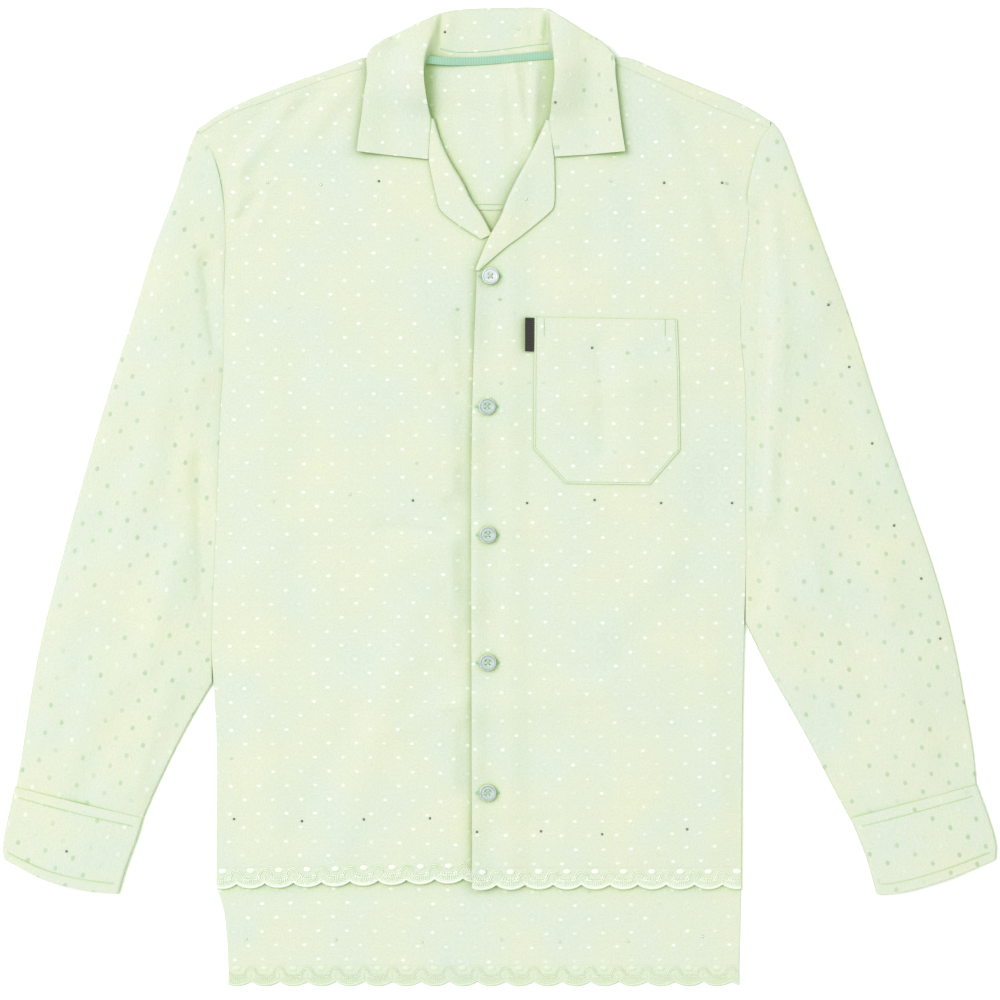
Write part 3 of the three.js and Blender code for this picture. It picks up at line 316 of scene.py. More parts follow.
# Shapes: skins. A form is its points, its place on the cloth for each point, and arrays of faces

def strip(a, b):
    """Quads between two lines of indices."""
    return np.stack([a[:-1], a[1:], b[1:], b[:-1]], -1)


def quads(index):
    """Quads over a grid of indices."""
    return np.stack([index[:-1, :-1], index[:-1, 1:], index[1:, 1:], index[1:, :-1]], -1).reshape(-1, 4)


def looped(index):
    """A grid of indices with its first column again at its end."""
    return np.hstack([index, index[:, :1]])


def facing_out(points, faces):
    """The faces, turned over if the sum of corner . (corner x corner), six times the volume, is negative."""
    volume = 0
    for group in faces:
        corner = points[group]
        for k in range(1, group.shape[1] - 1):
            volume += np.einsum("ij,ij->", corner[:, 0], np.cross(corner[:, k], corner[:, k + 1]))
    return [group[:, ::-1] for group in faces] if volume < 0 else faces


def shell(outer, inner, cloth, ring=False):
    """Closed skin between two grids of points, with a rim round its open borders."""
    rows, columns = outer.shape[:2]
    index = np.arange(rows * columns).reshape(rows, columns)
    if ring:
        index = looped(index)
    other = index + rows * columns
    faces = [quads(index), quads(other)[:, ::-1], strip(other[0], index[0]), strip(index[-1], other[-1])]
    if not ring:
        faces += [strip(index[:, 0], other[:, 0]), strip(other[:, -1], index[:, -1])]
    points = np.vstack([outer.reshape(-1, 3), inner.reshape(-1, 3)])
    return points, np.vstack([cloth.reshape(-1, 2)] * 2), facing_out(points, faces)


def joined(forms):
    """Several forms as one."""
    offsets = np.cumsum([0] + [len(points) for points, _, _ in forms])
    faces = [group + offset for (_, _, groups), offset in zip(forms, offsets) for group in groups]
    return np.vstack([f[0] for f in forms]), np.vstack([f[1] for f in forms]), faces


def copies(form, turns, places):
    """A form repeated: each point times a 3 by 3 turn, one for all or one for each, plus a place."""
    points, cloth, groups = form
    count = len(places)
    turns = np.broadcast_to(turns, (count, 3, 3))
    all_points = np.einsum("nij,mj->nmi", turns, points) + places[:, None]
    step = (np.arange(count) * len(points))[:, None, None]
    return (all_points.reshape(-1, 3), np.tile(cloth, (count, 1)),
            [(group[None] + step).reshape(-1, group.shape[1]) for group in groups])


def thickened(grid, wall):
    """Two grids, half a wall either side of a curved one along its normals."""
    normal = unit(np.cross(np.gradient(grid, axis=1), np.gradient(grid, axis=0)))
    return grid + normal * wall / 2, grid - normal * wall / 2


def lifted(grid, height):
    """A plan raised to a height function of x and y."""
    return np.dstack([grid, np.broadcast_to(height(grid[..., 0], grid[..., 1]), grid.shape[:2])])


def grain(grid, degrees=0, origin=(0, 0)):
    """Place on the cloth of a flat piece: its plan about an origin, where a dot sits, turned to the grain,
    which wanders by up to 1.4 mm in waves of about 300 mm."""
    a = math.radians(degrees)
    x, y = grid[..., 0] - origin[0], grid[..., 1] - origin[1]
    x, y = x + 1.4 * np.sin(y / 47 + x / 90), y + 1.4 * np.sin(x / 53 - y / 110)
    return np.stack([x * math.cos(a) + y * math.sin(a), y * math.cos(a) - x * math.sin(a)], -1)


def laid(grid, lower, wall, cloth):
    """A wall that lies on its plan at a lower height."""
    bottom = lifted(grid, lower)
    return shell(bottom + [0, 0, wall], bottom, cloth)


def flat_tube(grid, wall, air, cloth_of):
    """A flattened tube over a plan whose rows run from side to side: flat below, crowned above. Near
    each side, within a radius r, half its height is times the root of 1 - (1 - distance / r) squared."""
    radius = wall + LAYER / 2
    cells = grid.shape[1] - 1
    width = np.linalg.norm(grid[:, -1] - grid[:, 0], axis=1)[:, None]
    v = np.linspace(0, 1, len(grid))[:, None]

    def rings(inset):
        r = radius - inset
        near = inset + r * (1 - np.cos(np.linspace(0, math.pi / 2, 6)))[None]
        between = np.linspace(0, 1, cells + 1)[None, 1:-1] * (width - 2 * radius) + radius
        d = np.hstack([near + 0 * width, between, width - near[:, ::-1]])
        place = np.clip(d / width, 0, 1) * cells
        i = np.minimum(np.floor(place).astype(int), cells - 1)
        rows = np.arange(len(grid))[:, None]
        part = (place - i)[..., None]
        at = grid[rows, i] * (1 - part) + grid[rows, i + 1] * part
        from_side = np.minimum(np.minimum(d, width - d) - inset, r) / r
        bulge = np.sqrt(np.clip(1 - (1 - from_side) ** 2, 0, 1))
        height = 2 * radius + air(d / width, v, at[..., 0], at[..., 1])
        top = np.dstack([at, height / 2 + (height / 2 - inset) * bulge])
        under = np.dstack([at, height / 2 - (height / 2 - inset) * bulge])
        return np.hstack([top, under[:, -2:0:-1]])

    outer = rings(0)
    return shell(outer, rings(wall), cloth_of(outer), ring=True)


def lathe(profile, sides):
    """A closed profile of (radius, height) from axis to axis, turned about +Z: its ends close in fans."""
    inner = np.array(profile[1:-1], float)
    a = np.linspace(0, 2 * math.pi, sides, endpoint=False)
    rings = np.stack([inner[:, :1] * np.cos(a), inner[:, :1] * np.sin(a), inner[:, 1:] + 0 * a], -1)
    points = np.vstack([rings.reshape(-1, 3), [(0, 0, profile[0][1]), (0, 0, profile[-1][1])]])
    index = looped(np.arange(len(inner) * sides).reshape(len(inner), sides))
    low, high = len(points) - 2, len(points) - 1
    fans = [np.stack([index[0, 1:], index[0, :-1], np.full(sides, low)], -1),
            np.stack([index[-1, :-1], index[-1, 1:], np.full(sides, high)], -1)]
    return points, points[:, :2], facing_out(points, [quads(index), *fans])


def thread(path, radius, flat=1.0, sides=6):
    """A thread along a path: rings of a radius across the way it runs, less high than wide by flat."""
    way = unit(np.gradient(path, axis=0))
    side = unit(np.cross(way, [0, 0, 1]))
    up = np.cross(side, way) * flat
    a = np.linspace(0, 2 * math.pi, sides, endpoint=False)[None, :, None]
    radius = np.broadcast_to(radius, len(path))[:, None, None]
    points = (path[:, None] + radius * (np.cos(a) * side[:, None] + np.sin(a) * up[:, None])).reshape(-1, 3)
    index = np.arange(len(points)).reshape(len(path), sides)
    faces = [quads(looped(index)), index[:1, ::-1], index[-1:]]
    return points, points[:, :2], facing_out(points, faces)


def frames(way):
    """Turns that take +X to each way and keep +Z as near up as it goes."""
    way = unit(way)
    side = unit(np.cross([0, 0, 1.0], way))
    return np.stack([way, side, np.cross(way, side)], -1)


STITCH = thread(np.array([(-0.5, 0, -0.12), (-0.3, 0, 0.08), (0.3, 0, 0.08), (0.5, 0, -0.12)]), 1, sides=5)


def stitches(starts, ends, radius):
    """Single stitches from start to end: the one stitch, as long as the way and of this radius."""
    way = ends - starts
    length = np.linalg.norm(way, axis=1)
    turns = frames(way)
    scale = np.stack([length, np.full_like(length, radius), np.full_like(length, radius)], -1)
    return copies(STITCH, turns * scale[:, None, :], (starts + ends) / 2)


def seam_line(path, height, length=2.5, gap=0.8, radius=0.3, above=0.1):
    """Machine stitches along a path on the shirt, on a height function of x and y."""
    path = np.array(path, float)
    along = lengths(path)
    count = int(along[-1] / (length + gap))
    starts = np.arange(count) * (along[-1] / count)

    def at(distance):
        x, y = (np.interp(distance, along, path[:, k]) for k in (0, 1))
        return np.stack([x, y, height(x, y) + above], -1)

    return stitches(at(starts), at(starts + length), radius)


def inset(path, distance):
    """A path moved sideways, to the left of the way it runs."""
    path = np.array(path, float)
    way = unit(np.gradient(path, axis=0))
    return path + distance * np.stack([-way[:, 1], way[:, 0]], -1)


# Materials

def linear(code):
    """Linear colour of an sRGB hex value: above 0.04045, (c + 0.055) / 1.055 to the power 2.4."""
    c = np.array([int(code[k:k + 2], 16) / 255 for k in (1, 3, 5)])
    c = np.where(c > 0.04045, ((c + 0.055) / 1.055) ** 2.4, c / 12.92)
    return (*c.tolist(), 1.0)


def add(tree, kind, sockets=None, **settings):
    """Adds a node with its settings, and gives each named socket a value or a link."""
    made = tree.nodes.new(kind)
    for key, value in settings.items():
        setattr(made, key, value)
    for socket, value in (sockets or {}).items():
        if isinstance(value, bpy.types.NodeSocket):
            tree.links.new(value, made.inputs[socket])
        else:
            made.inputs[socket].default_value = value
    return made


def calc(tree, operation, *values):
    """Result of a sum on values or links."""
    return add(tree, "ShaderNodeMath", dict(enumerate(values)), operation=operation).outputs[0]


def vector(tree, operation, *values):
    """Result of a vector sum on values or links."""
    made = add(tree, "ShaderNodeVectorMath", dict(enumerate(values)), operation=operation)
    return made.outputs["Value" if operation == "LENGTH" else "Vector"]


def scaled(tree, colour, factor):
    """A colour times a factor."""
    return add(tree, "ShaderNodeVectorMath", {0: colour, "Scale": factor}, operation="SCALE").outputs[0]


def remap(tree, value, from_min, from_max, to_min=0.0, to_max=1.0, soft=False):
    """A value taken from one range to another and held to it, in a straight line or a soft step."""
    ends = {"From Min": from_min, "From Max": from_max, "To Min": to_min, "To Max": to_max}
    return add(tree, "ShaderNodeMapRange", {"Value": value, **ends},
               interpolation_type="SMOOTHSTEP" if soft else "LINEAR").outputs[0]


def blend(tree, share, first, second):
    """The first colour where the share is 0, and the second where it is 1."""
    return add(tree, "ShaderNodeMix", {0: share, 6: first, 7: second}, data_type="RGBA").outputs[2]


def larger(tree, a, b):
    """The larger of two values, or the second if there is no first."""
    return b if a is None else calc(tree, "MAXIMUM", a, b)


def noise(tree, place, scale, detail, stretch=None, **more):
    """Cloudy values from 0 to 1 over a place, which may be stretched by three factors first."""
    if stretch:
        place = add(tree, "ShaderNodeMapping", {"Vector": place, "Scale": stretch}).outputs[0]
    return add(tree, "ShaderNodeTexNoise",
               {"Vector": place, "Scale": scale, "Detail": detail, **more}).outputs["Fac"]


def on_cloth(tree):
    """Place on the flat cloth, in metres."""
    return add(tree, "ShaderNodeUVMap", uv_map="cloth").outputs["UV"]


def in_space(tree):
    """Place in the object, in metres."""
    return add(tree, "ShaderNodeTexCoord").outputs["Object"]


def material(name, **values):
    """A new material with a Principled surface, and the values of its sockets."""
    made = bpy.data.materials.new(name)
    made.use_nodes = True
    tree = made.node_tree
    tree.nodes.clear()
    surface = add(tree, "ShaderNodeBsdfPrincipled", {k.replace("_", " "): v for k, v in values.items()})
    add(tree, "ShaderNodeOutputMaterial", {"Surface": surface.outputs["BSDF"]})
    return made, tree, surface


def finish(tree, surface, colour, height=None, strength=0.5, depth=0.0004):
    """Gives a surface its colour and, from a height, a relief of so many metres."""
    tree.links.new(colour, surface.inputs["Base Color"])
    if height:
        relief = add(tree, "ShaderNodeBump", {"Height": height, "Strength": strength, "Distance": depth})
        tree.links.new(relief.outputs["Normal"], surface.inputs["Normal"])


def shaded(tree, colour, most_painted_shade):
    """A colour for thin pale cloth, with painted shade: where ambient occlusion finds other cloth near it, in
    creases and beside raised edges, it is painted a deeper and yellower green. This stands in for the shade
    there and for light that reaches it only off and through other cloth."""
    open_part = add(tree, "ShaderNodeAmbientOcclusion", {"Distance": 0.016}, samples=5).outputs["AO"]
    painted_shade = remap(tree, open_part, 0.58, 0.97, most_painted_shade, 0)
    return blend(tree, painted_shade, colour, vector(tree, "MULTIPLY", colour, linear("#D6ECAE")[:3]))


def jacquard(name, sheen_darkness=0.0, dark_sheen_side=None, dotted=True, dot_size=DOT_SIZE):
    """Woven polyester jacquard crepe: a matt pebbled ground, with satin dots and fine rings woven round them.
    The dots' sheen is painted: a dot is painted pale, a painted highlight where satin catches the light, or a
    shade darker than the ground, painted shade where it turns from it. A higher darkness paints more dots
    dark, and so does the x range in mm of the dark side, rising from its first x to its second."""
    made, tree, surface = material(name, Roughness=0.72, Sheen_Weight=0.15, Sheen_Roughness=0.45,
                                   Sheen_Tint=linear("#F4F8EE"), IOR=1.45)
    place = on_cloth(tree)

    # pebbles of about 1.6 mm and slubs along the weft, drawn a little coarse so that they show
    pebble = noise(tree, place, 620, 3, Roughness=0.6)
    slub = noise(tree, place, 1, 2, stretch=(90, 900, 1))
    cloudy = remap(tree, noise(tree, place, 14, 2), 0.3, 0.7)
    ground = blend(tree, cloudy, linear("#CFDACA"), linear("#D7DDC3"))
    colour = ground = scaled(tree, ground, remap(tree, pebble, 0.3, 0.7, 0.95, 1.05))
    height = calc(tree, "MULTIPLY_ADD", slub, 0.5, pebble)
    if dotted:
        dots, rings, chance = weave_dots(tree, place, dot_size)
        # Painted sheen: where these cloudy bands, the darkness and the x range outweigh a dot's chance, the
        # dot is painted darker (painted shade of satin turned from the light), and the rest are painted pale
        # (painted highlight).
        bands = noise(tree, place, 1, 1, stretch=(5, 24, 1))
        turned_from_light = calc(tree, "MULTIPLY_ADD", bands, 2.2, sheen_darkness - 1.6)
        if dark_sheen_side:
            x = add(tree, "ShaderNodeSeparateXYZ", {"Vector": in_space(tree)}).outputs["X"]
            more = remap(tree, x, dark_sheen_side[0] * MM, dark_sheen_side[1] * MM, -0.6, 0.2)
            turned_from_light = calc(tree, "ADD", turned_from_light, more)
        painted_dark_sheen = remap(tree, calc(tree, "SUBTRACT", turned_from_light, chance), -0.15, 0.15, soft=True)
        dot_colour = blend(tree, painted_dark_sheen, linear("#E8EDE6"), linear("#AFC8A2"))
        shown = calc(tree, "MULTIPLY", dots, remap(tree, chance, 0, 1, 1.0, 0.2))
        ring_part = calc(tree, "MULTIPLY", rings, remap(tree, cloudy, 0.1, 0.6, 0.24, 0.04))
        ringed = blend(tree, ring_part, ground, linear("#E5EDE0"))
        colour = blend(tree, shown, ringed, dot_colour)
        tree.links.new(remap(tree, dots, 0, 1, 0.72, 0.42), surface.inputs["Roughness"])
        height = calc(tree, "MULTIPLY_ADD", rings, 0.4, height)
        height = calc(tree, "MULTIPLY_ADD", dots, 0.9, height)
    # the cloth's colour takes painted shade from shaded() in creases and beside raised edges
    finish(tree, surface, shaded(tree, colour, 0.85 if dotted else 0.4), height)
    return made


def weave_dots(tree, place, size):
    """Dots and rings on a lattice of two square grids, half a pitch apart: 1 inside a dot, 1 on a ring,
    and a number from 0 to 1 for each dot by chance."""
    per_cell = 1 / (DOT_PITCH * MM)
    dots = rings = chance = None
    for start in (0.5, 0.0):
        cell = vector(tree, "MULTIPLY_ADD", place, (per_cell,) * 3, (start, start, 0))
        centred = vector(tree, "SUBTRACT", vector(tree, "FRACTION", cell), (0.5, 0.5, 0))
        oval = vector(tree, "MULTIPLY", centred, (DOT_PITCH / size[0], DOT_PITCH / size[1], 0))
        reach = vector(tree, "LENGTH", oval)
        dots = larger(tree, dots, remap(tree, reach, 0.65, 1.25, 1, 0, soft=True))
        distance = vector(tree, "LENGTH", centred)
        for radius in RING_RADII:
            off = calc(tree, "ABSOLUTE", calc(tree, "SUBTRACT", distance, radius / DOT_PITCH))
            rings = larger(tree, rings, remap(tree, off, 0.006, 0.024, 1, 0, soft=True))
        number = vector(tree, "FLOOR", cell)
        value = add(tree, "ShaderNodeTexWhiteNoise", {"Vector": number}, noise_dimensions="2D")
        near = calc(tree, "LESS_THAN", reach, 2.0)
        chance = larger(tree, chance, calc(tree, "MULTIPLY", value.outputs["Value"], near))
    return dots, rings, chance


def threads(name, code, dark_code, gloss, across=1600):
    """Spun or filament thread: fine ridges along it, at a spacing of about 1 / across metres, with painted
    light on their tops and painted shade between them."""
    made, tree, surface = material(name, Roughness=gloss, Sheen_Weight=0.25, Sheen_Roughness=0.4, IOR=1.45)
    ridge = noise(tree, in_space(tree), across, 2)
    # painted light and shade: the colour follows the ridges' height, paler on top and darker between
    finish(tree, surface, blend(tree, ridge, linear(dark_code), linear(code)), ridge, 0.4, 0.0002)
    return made


def ribbed(name, code, dark_code, pitch, gloss):
    """Woven tape or a woven tab: ribs across it, each one and each furrow a pitch in mm wide, with painted
    shade in the furrows and painted light on the ribs.
    """
    made, tree, surface = material(name, Roughness=gloss, Sheen_Weight=0.2, IOR=1.45)
    place = on_cloth(tree)
    per_metre = 3.14 / (20 * pitch * MM)
    rib = add(tree, "ShaderNodeTexWave", {"Vector": place, "Scale": per_metre, "Distortion": 0.6,
                                          "Detail": 1}, bands_direction="X").outputs["Fac"]
    height = calc(tree, "MULTIPLY_ADD", rib, 0.6, noise(tree, place, 900, 2))
    # painted light and shade: the colour follows the ribs' height, darker in the furrows
    tone = remap(tree, height, 0.3, 1.2)
    finish(tree, surface, blend(tree, tone, linear(dark_code), linear(code)), height, 0.5, 0.0003)
    return made


def pearl(name, bands_of):
    """Turned polyester imitation pearl: grey-blue rim, paler ring, and a centre tinged with the cloth's
    green, with cloudy bands. Satin, as it comes out of the tumbling barrel."""
    made, tree, surface = material(name, Roughness=0.4, Coat_Weight=0.15, Coat_Roughness=0.15, IOR=1.48)
    place = on_cloth(tree)
    share = calc(tree, "DIVIDE", vector(tree, "LENGTH", place), BUTTON_RADIUS * MM)
    bands = add(tree, "ShaderNodeValToRGB", {"Fac": share})
    stops = bands.color_ramp.elements
    for spot, code in bands_of:
        stop = stops[0] if spot == 0 else stops.new(spot)
        stop.position = spot
        stop.color = linear(code)
    stops.remove(stops[-1])
    tone = remap(tree, noise(tree, place, 320, 3, Distortion=1.2), 0.3, 0.7, 0.88, 1.08)
    finish(tree, surface, scaled(tree, bands.outputs["Color"], tone))
    return made


def stone(name, code, dark_code, metallic):
    """Pressed glass stone in a metal claw: mirror-like facets, darker towards its rim."""
    made, tree, surface = material(name, Roughness=0.15, Metallic=metallic)
    distance = vector(tree, "LENGTH", on_cloth(tree))
    rim = remap(tree, distance, 0.35 * STONE_RADIUS * MM, 0.85 * STONE_RADIUS * MM)
    finish(tree, surface, blend(tree, rim, linear(code), linear(dark_code)))
    return made


# The sleeve and collar copies paint more dots darker, as painted shade of satin sheen turned from the light;
# the sleeve's dots are also larger.
CLOTH = jacquard("polyester_jacquard_crepe", 0.38)
SLEEVE_CLOTH = jacquard("polyester_jacquard_crepe_sleeve", 1.1, dot_size=SLEEVE_DOT_SIZE)
COLLAR_CLOTH = jacquard("polyester_jacquard_crepe_collar", 0.9, dark_sheen_side=(20, 60))
LACE_GROUND = jacquard("polyester_crepe_lace_ground", dotted=False)
SEWING = threads("polyester_sewing_thread", "#C6DDB9", "#B0CFA2", 0.5)
MINT_SEWING = threads("mint_sewing_thread", "#B2D8BB", "#9FCBAB", 0.5)
SATIN = threads("viscose_embroidery_thread", "#EDF2E8", "#DFE9D6", 0.4, across=2200)
SATIN_BACK = threads("viscose_embroidery_thread_back", "#DCE6CF", "#CEDCC0", 0.5, across=2200)
MINT_TAPE = ribbed("grosgrain_tape", "#A2CBB2", "#92BEA3", 1.1, 0.6)
DARK_TAB = ribbed("woven_damask_tab", "#403A38", "#221E1D", 0.9, 0.75)
PEARL = pearl("polyester_pearl", ((0.0, "#B2CEB4"), (0.4, "#B5CFBA"), (0.5, "#A8BDB2"), (0.58, "#BECCC5"),
                                  (0.72, "#BCC9C5"), (0.82, "#9DACAB"), (0.92, "#A9B8B5"), (1.0, "#B0C0B8")))
# A paler copy of the pearl: a painted highlight for the first button, which catches the light.
PEARL_PAINTED_HIGHLIGHT = pearl("polyester_pearl_painted_highlight", ((0.0, "#BFD0C6"), (0.35, "#D2DADA"), (0.75, "#D9DFE0"),
                                            (0.86, "#A9B3B8"), (1.0, "#B7C2C2")))
PALE_STONE = stone("pressed_glass_pale", "#F2F5F2", "#BAC4BC", 0.15)
DARK_STONE = stone("pressed_glass_dark", "#8C9498", "#3E4448", 0.5)


def put(name, form, look, nodes=()):
    """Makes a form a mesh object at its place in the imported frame, on the one body."""
    points, cloth, groups = form
    sizes = np.concatenate([np.full(len(group), group.shape[1]) for group in groups])
    corners = np.concatenate([group.ravel() for group in groups])
    mesh = bpy.data.meshes.new(name)
    mesh.vertices.add(len(points))
    mesh.loops.add(len(corners))
    mesh.polygons.add(len(sizes))
    mesh.vertices.foreach_set("co", (points * MM + SHIFT).ravel())
    mesh.loops.foreach_set("vertex_index", corners)
    mesh.polygons.foreach_set("loop_start", np.cumsum(sizes) - sizes)
    mesh.update(calc_edges=True)
    mesh.uv_layers.new(name="cloth").data.foreach_set("uv", (cloth[corners] * MM).ravel())
    mesh.validate()
    mesh.shade_smooth()
    mesh.set_sharp_from_angle(angle=math.radians(50))
    mesh.materials.append(look)
    piece = bpy.data.objects.new(name, mesh)
    bpy.context.scene.collection.objects.link(piece)
    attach(piece, "root")
    if nodes:
        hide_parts(*nodes)
    return piece


# Heights of the layers, all in mm above the surface

def back_lower(x, y):
    """The back and yoke lie on the surface, but ride over the collar's turned-under fall at the neck."""
    beside = 1 - ramp(103, 125, np.abs(x - NECK_CENTRE))
    return (WALL + LAYER) * beside * ramp(312, 336, y)


def back_air(x, y):
    return np.clip(folded(x, y, BACK_FOLDS) + folded(x, y, YOKE_FOLDS), 0, 2.3)


def front_air(x, y):
    """Air under the front: its crown, folds and slack, gone at the side seams and little at the hem."""
    across = np.minimum(1, np.abs(x - BODY_CENTRE) / BODY_HALF)
    own = (folded(x, y, FRONT_FOLDS) + slack(x, y)) * ramp(1, 0.93, across)
    return np.clip(CROWN * (1 - across ** 4) + own, 0, 5) * (0.35 + 0.65 * ramp(-325, -285, y))


def front_right_lower(x, y):
    return back_lower(x, y) + WALL + LAYER + FRONT_CLEAR + front_air(x, y)


def front_right_top(x, y):
    return front_right_lower(x, y) + WALL


def front_left_lower(x, y):
    """The upper front is carried over the lower one's button stand, and its edge lifts a little."""
    over = (WALL + 2 * LAYER) * (1 - ramp(UNDERLAP_EDGE + 2, UNDERLAP_EDGE + 24, x))
    waves = 2.3 + 0.8 * np.sin(y / 19) + 0.5 * np.sin(y / 7.3 + 1)
    lift = waves * np.exp(-(((x - PLACKET_EDGE) / 10) ** 2))
    return front_right_lower(x, y) + over + lift


def front_left_top(x, y):
    return front_left_lower(x, y) + WALL


# The body

SHOULDER_CELLS, ARMHOLE_CELLS, ROLL_CELLS = 70, 64, 48


def make_back():
    scale = 10
    top = YOKE_SEAM - SEAM
    upper = run([(ARMHOLE_RIGHT_BACK[0][0], top), (ARMHOLE_LEFT_BACK[0][0], top)], 80)
    lower = run([BACK_SIDE_RIGHT[-1], BACK_SIDE_LEFT[-1]], 80)

    def side(hem_side, body_side, armhole, corner):
        return edge(run(hem_side[::-1], 2 * scale), run([hem_side[0], *body_side[::-1]], 10 * scale),
                    run([*armhole[:0:-1], corner], 2 * scale))

    grid = plan(lower, upper, side(BACK_SIDE_RIGHT, SIDE_RIGHT, ARMHOLE_RIGHT_BACK, upper[0]),
                side(BACK_SIDE_LEFT, SIDE_LEFT, ARMHOLE_LEFT_BACK, upper[-1]))
    form = shell(lifted(grid, lambda x, y: WALL + 0.35 * back_air(x, y)), lifted(grid, lambda x, y: 0 * x),
                 grain(grid, 0, (3, -230)))
    put("back_panel", form, CLOTH, ["back"])


def yoke_side(armhole, neck, fold, seam, cells):
    """One side of the yoke: flat behind, over the shoulder in half an ellipse, and down to the seam."""
    fold_run, seam_run = run(fold, cells), run(seam, cells)
    way = seam_run - fold_run
    reach = np.linalg.norm(way, axis=1, keepdims=True)
    way = way / reach
    turn_start, turn_end = WALL / 2, WALL / 2 + YOKE_TURN

    def turn(distance, height):
        at = fold_run + way * np.minimum(distance, reach + SEAM)
        x, y = at[:, 0], at[:, 1]
        gap = WALL + LAYER + 0.6 + front_air(x, y)
        return np.column_stack([at, back_lower(x, y) + WALL / 2 + height * gap])

    start = turn(turn_end, 0)
    flat = plan(run([armhole[0], neck[0]], cells), start[:, :2],
                run([*armhole[:-1], start[0, :2]], 24), run([*neck[:-1], start[-1, :2]], 24))
    rows = [lifted(flat, lambda x, y: back_lower(x, y) + WALL / 2)]
    for angle in np.linspace(0, math.pi, 10)[1:]:
        rows.append(turn(turn_start + YOKE_TURN * (1 - math.sin(angle)), (1 - math.cos(angle)) / 2)[None])
    for share in (0.25, 0.5, 0.75, 1):
        rows.append(turn(turn_end + share * (reach + SEAM - turn_end), 1)[None])
    grid = np.vstack(rows)
    return shell(*thickened(grid, WALL), grain(grid, 0, (3, 240))), grid


def make_yoke(tape):
    join = 0.5
    neck_right, neck_left = YOKE_NECK[0], YOKE_NECK[-1]
    right, right_grid = yoke_side(ARMHOLE_RIGHT_YOKE[::-1], [(neck_right[0] + join, YOKE_SEAM), neck_right,
                                                             SHOULDER_FOLD_RIGHT[-1]],
                                  SHOULDER_FOLD_RIGHT, SHOULDER_SEAM_RIGHT, SHOULDER_CELLS)
    left, left_grid = yoke_side(ARMHOLE_LEFT_YOKE[::-1], [(neck_left[0] - join, YOKE_SEAM), neck_left,
                                                          SHOULDER_FOLD_LEFT[0]],
                                SHOULDER_FOLD_LEFT[::-1], SHOULDER_SEAM_LEFT[::-1], SHOULDER_CELLS)
    low_right, low_left = (neck_right[0] - join, YOKE_SEAM), (neck_left[0] + join, YOKE_SEAM)
    grid = plan(run([low_right, low_left], 64), run(YOKE_NECK, 64), run([low_right, neck_right], 60),
                run([low_left, neck_left], 60))
    middle = shell(lifted(grid, lambda x, y: back_lower(x, y) + WALL + back_air(x, y)),
                   lifted(grid, back_lower), grain(grid, 0, (3, 240)))
    piece = put("yoke_panel", joined([right, left, middle]), CLOTH, ["yoke"])


def make_fronts():
    rows = 8
    bottom = run([(SIDE_RIGHT[-1][0], FRONT_HEM), (UNDERLAP_EDGE, FRONT_HEM)], SHOULDER_CELLS)
    corner = (UNDERLAP_EDGE, 193)
    grid = plan(bottom, run(SHOULDER_SEAM_RIGHT, SHOULDER_CELLS),
                edge(run(SIDE_RIGHT[::-1], 18 * rows), run(ARMHOLE_RIGHT[::-1], ARMHOLE_CELLS)),
                edge(run([bottom[-1], corner], 16 * rows), run([corner, ROLL_RIGHT[-1]], rows),
                     run(ROLL_RIGHT[::-1], ROLL_CELLS), run(NECKLINE_RIGHT[::-1], 3 * rows)))
    right = put("front_right_panel", laid(grid, front_right_lower, WALL, grain(grid, -0.5, (-36.7, -238))),
                CLOTH, ["front_right"])
    bottom = run([(PLACKET_EDGE, FRONT_HEM), (SIDE_LEFT[-1][0], FRONT_HEM)], SHOULDER_CELLS)
    grid = plan(bottom, run(SHOULDER_SEAM_LEFT, SHOULDER_CELLS),
                edge(run([bottom[0], (PLACKET_EDGE, 63.5), ROLL_LEFT[-1]], 17 * rows),
                     run(ROLL_LEFT[::-1], ROLL_CELLS), run(NECKLINE_LEFT[::-1], 3 * rows)),
                edge(run(SIDE_LEFT[::-1], 18 * rows), run(ARMHOLE_LEFT[::-1], ARMHOLE_CELLS)))
    left = put("front_left_panel", laid(grid, front_left_lower, WALL, grain(grid, 0.3, (3.7, -230))),
               CLOTH, ["front_left"])


def make_lapel(name, node, outer_edge, roll, top, outward):
    """A lapel lies on its front from the outer edge to the roll line, and there turns down past the
    front's edge in an arc, whose radius grows towards the collar."""
    cells = 110
    outer, line = run(outer_edge, cells), run(roll[::-1], cells)
    way = unit(np.gradient(line, axis=0))
    past = outward * np.stack([way[:, 1], -way[:, 0]], -1)
    v = np.linspace(0, 1, cells + 1)[:, None]
    radius = 1.15 + 1.3 * np.sin(math.pi * v / 1.3)
    columns = []
    for t in np.linspace(0, 1, 26):
        at = outer * (1 - t) + line * t
        beside = np.linalg.norm(line - at, axis=1)
        puff = (radius[:, 0] - 1.15) * 0.8 * np.exp(-((beside / 12) ** 2)) + 0.35 * math.sin(math.pi * t)
        columns.append(np.column_stack([at, top(at[:, 0], at[:, 1]) + LAYER + WALL / 2 + puff]))
    crest = columns[-1]
    for angle in np.linspace(0, math.radians(115), 11)[1:]:
        columns.append(crest + np.hstack([past * radius * math.sin(angle), -radius * (1 - math.cos(angle))]))
    grid = np.stack(columns, 1)
    piece = put(name, shell(*thickened(grid, WALL), grain(grid, 0, (3, 240))), CLOTH, [node])


# The collar

def collar_stations(count):
    """The collar's columns at even stations, on Catmull-Rom curves through the table's rows."""
    table = np.array(COLLAR, float)
    table = np.vstack([table[:1], table, table[-1:]])
    place = np.linspace(0, len(COLLAR) - 1, count)
    i = np.minimum(place.astype(int), len(COLLAR) - 2)
    t = (place - i)[:, None]
    a, b, c, d = (table[i + k] for k in range(4))
    rows = b + 0.5 * t * (c - a + t * (2 * a - 5 * b + 4 * c - d + t * (3 * (b - c) + d - a)))
    return {key: rows[:, k] for k, key in enumerate(COLLAR_COLUMNS)}


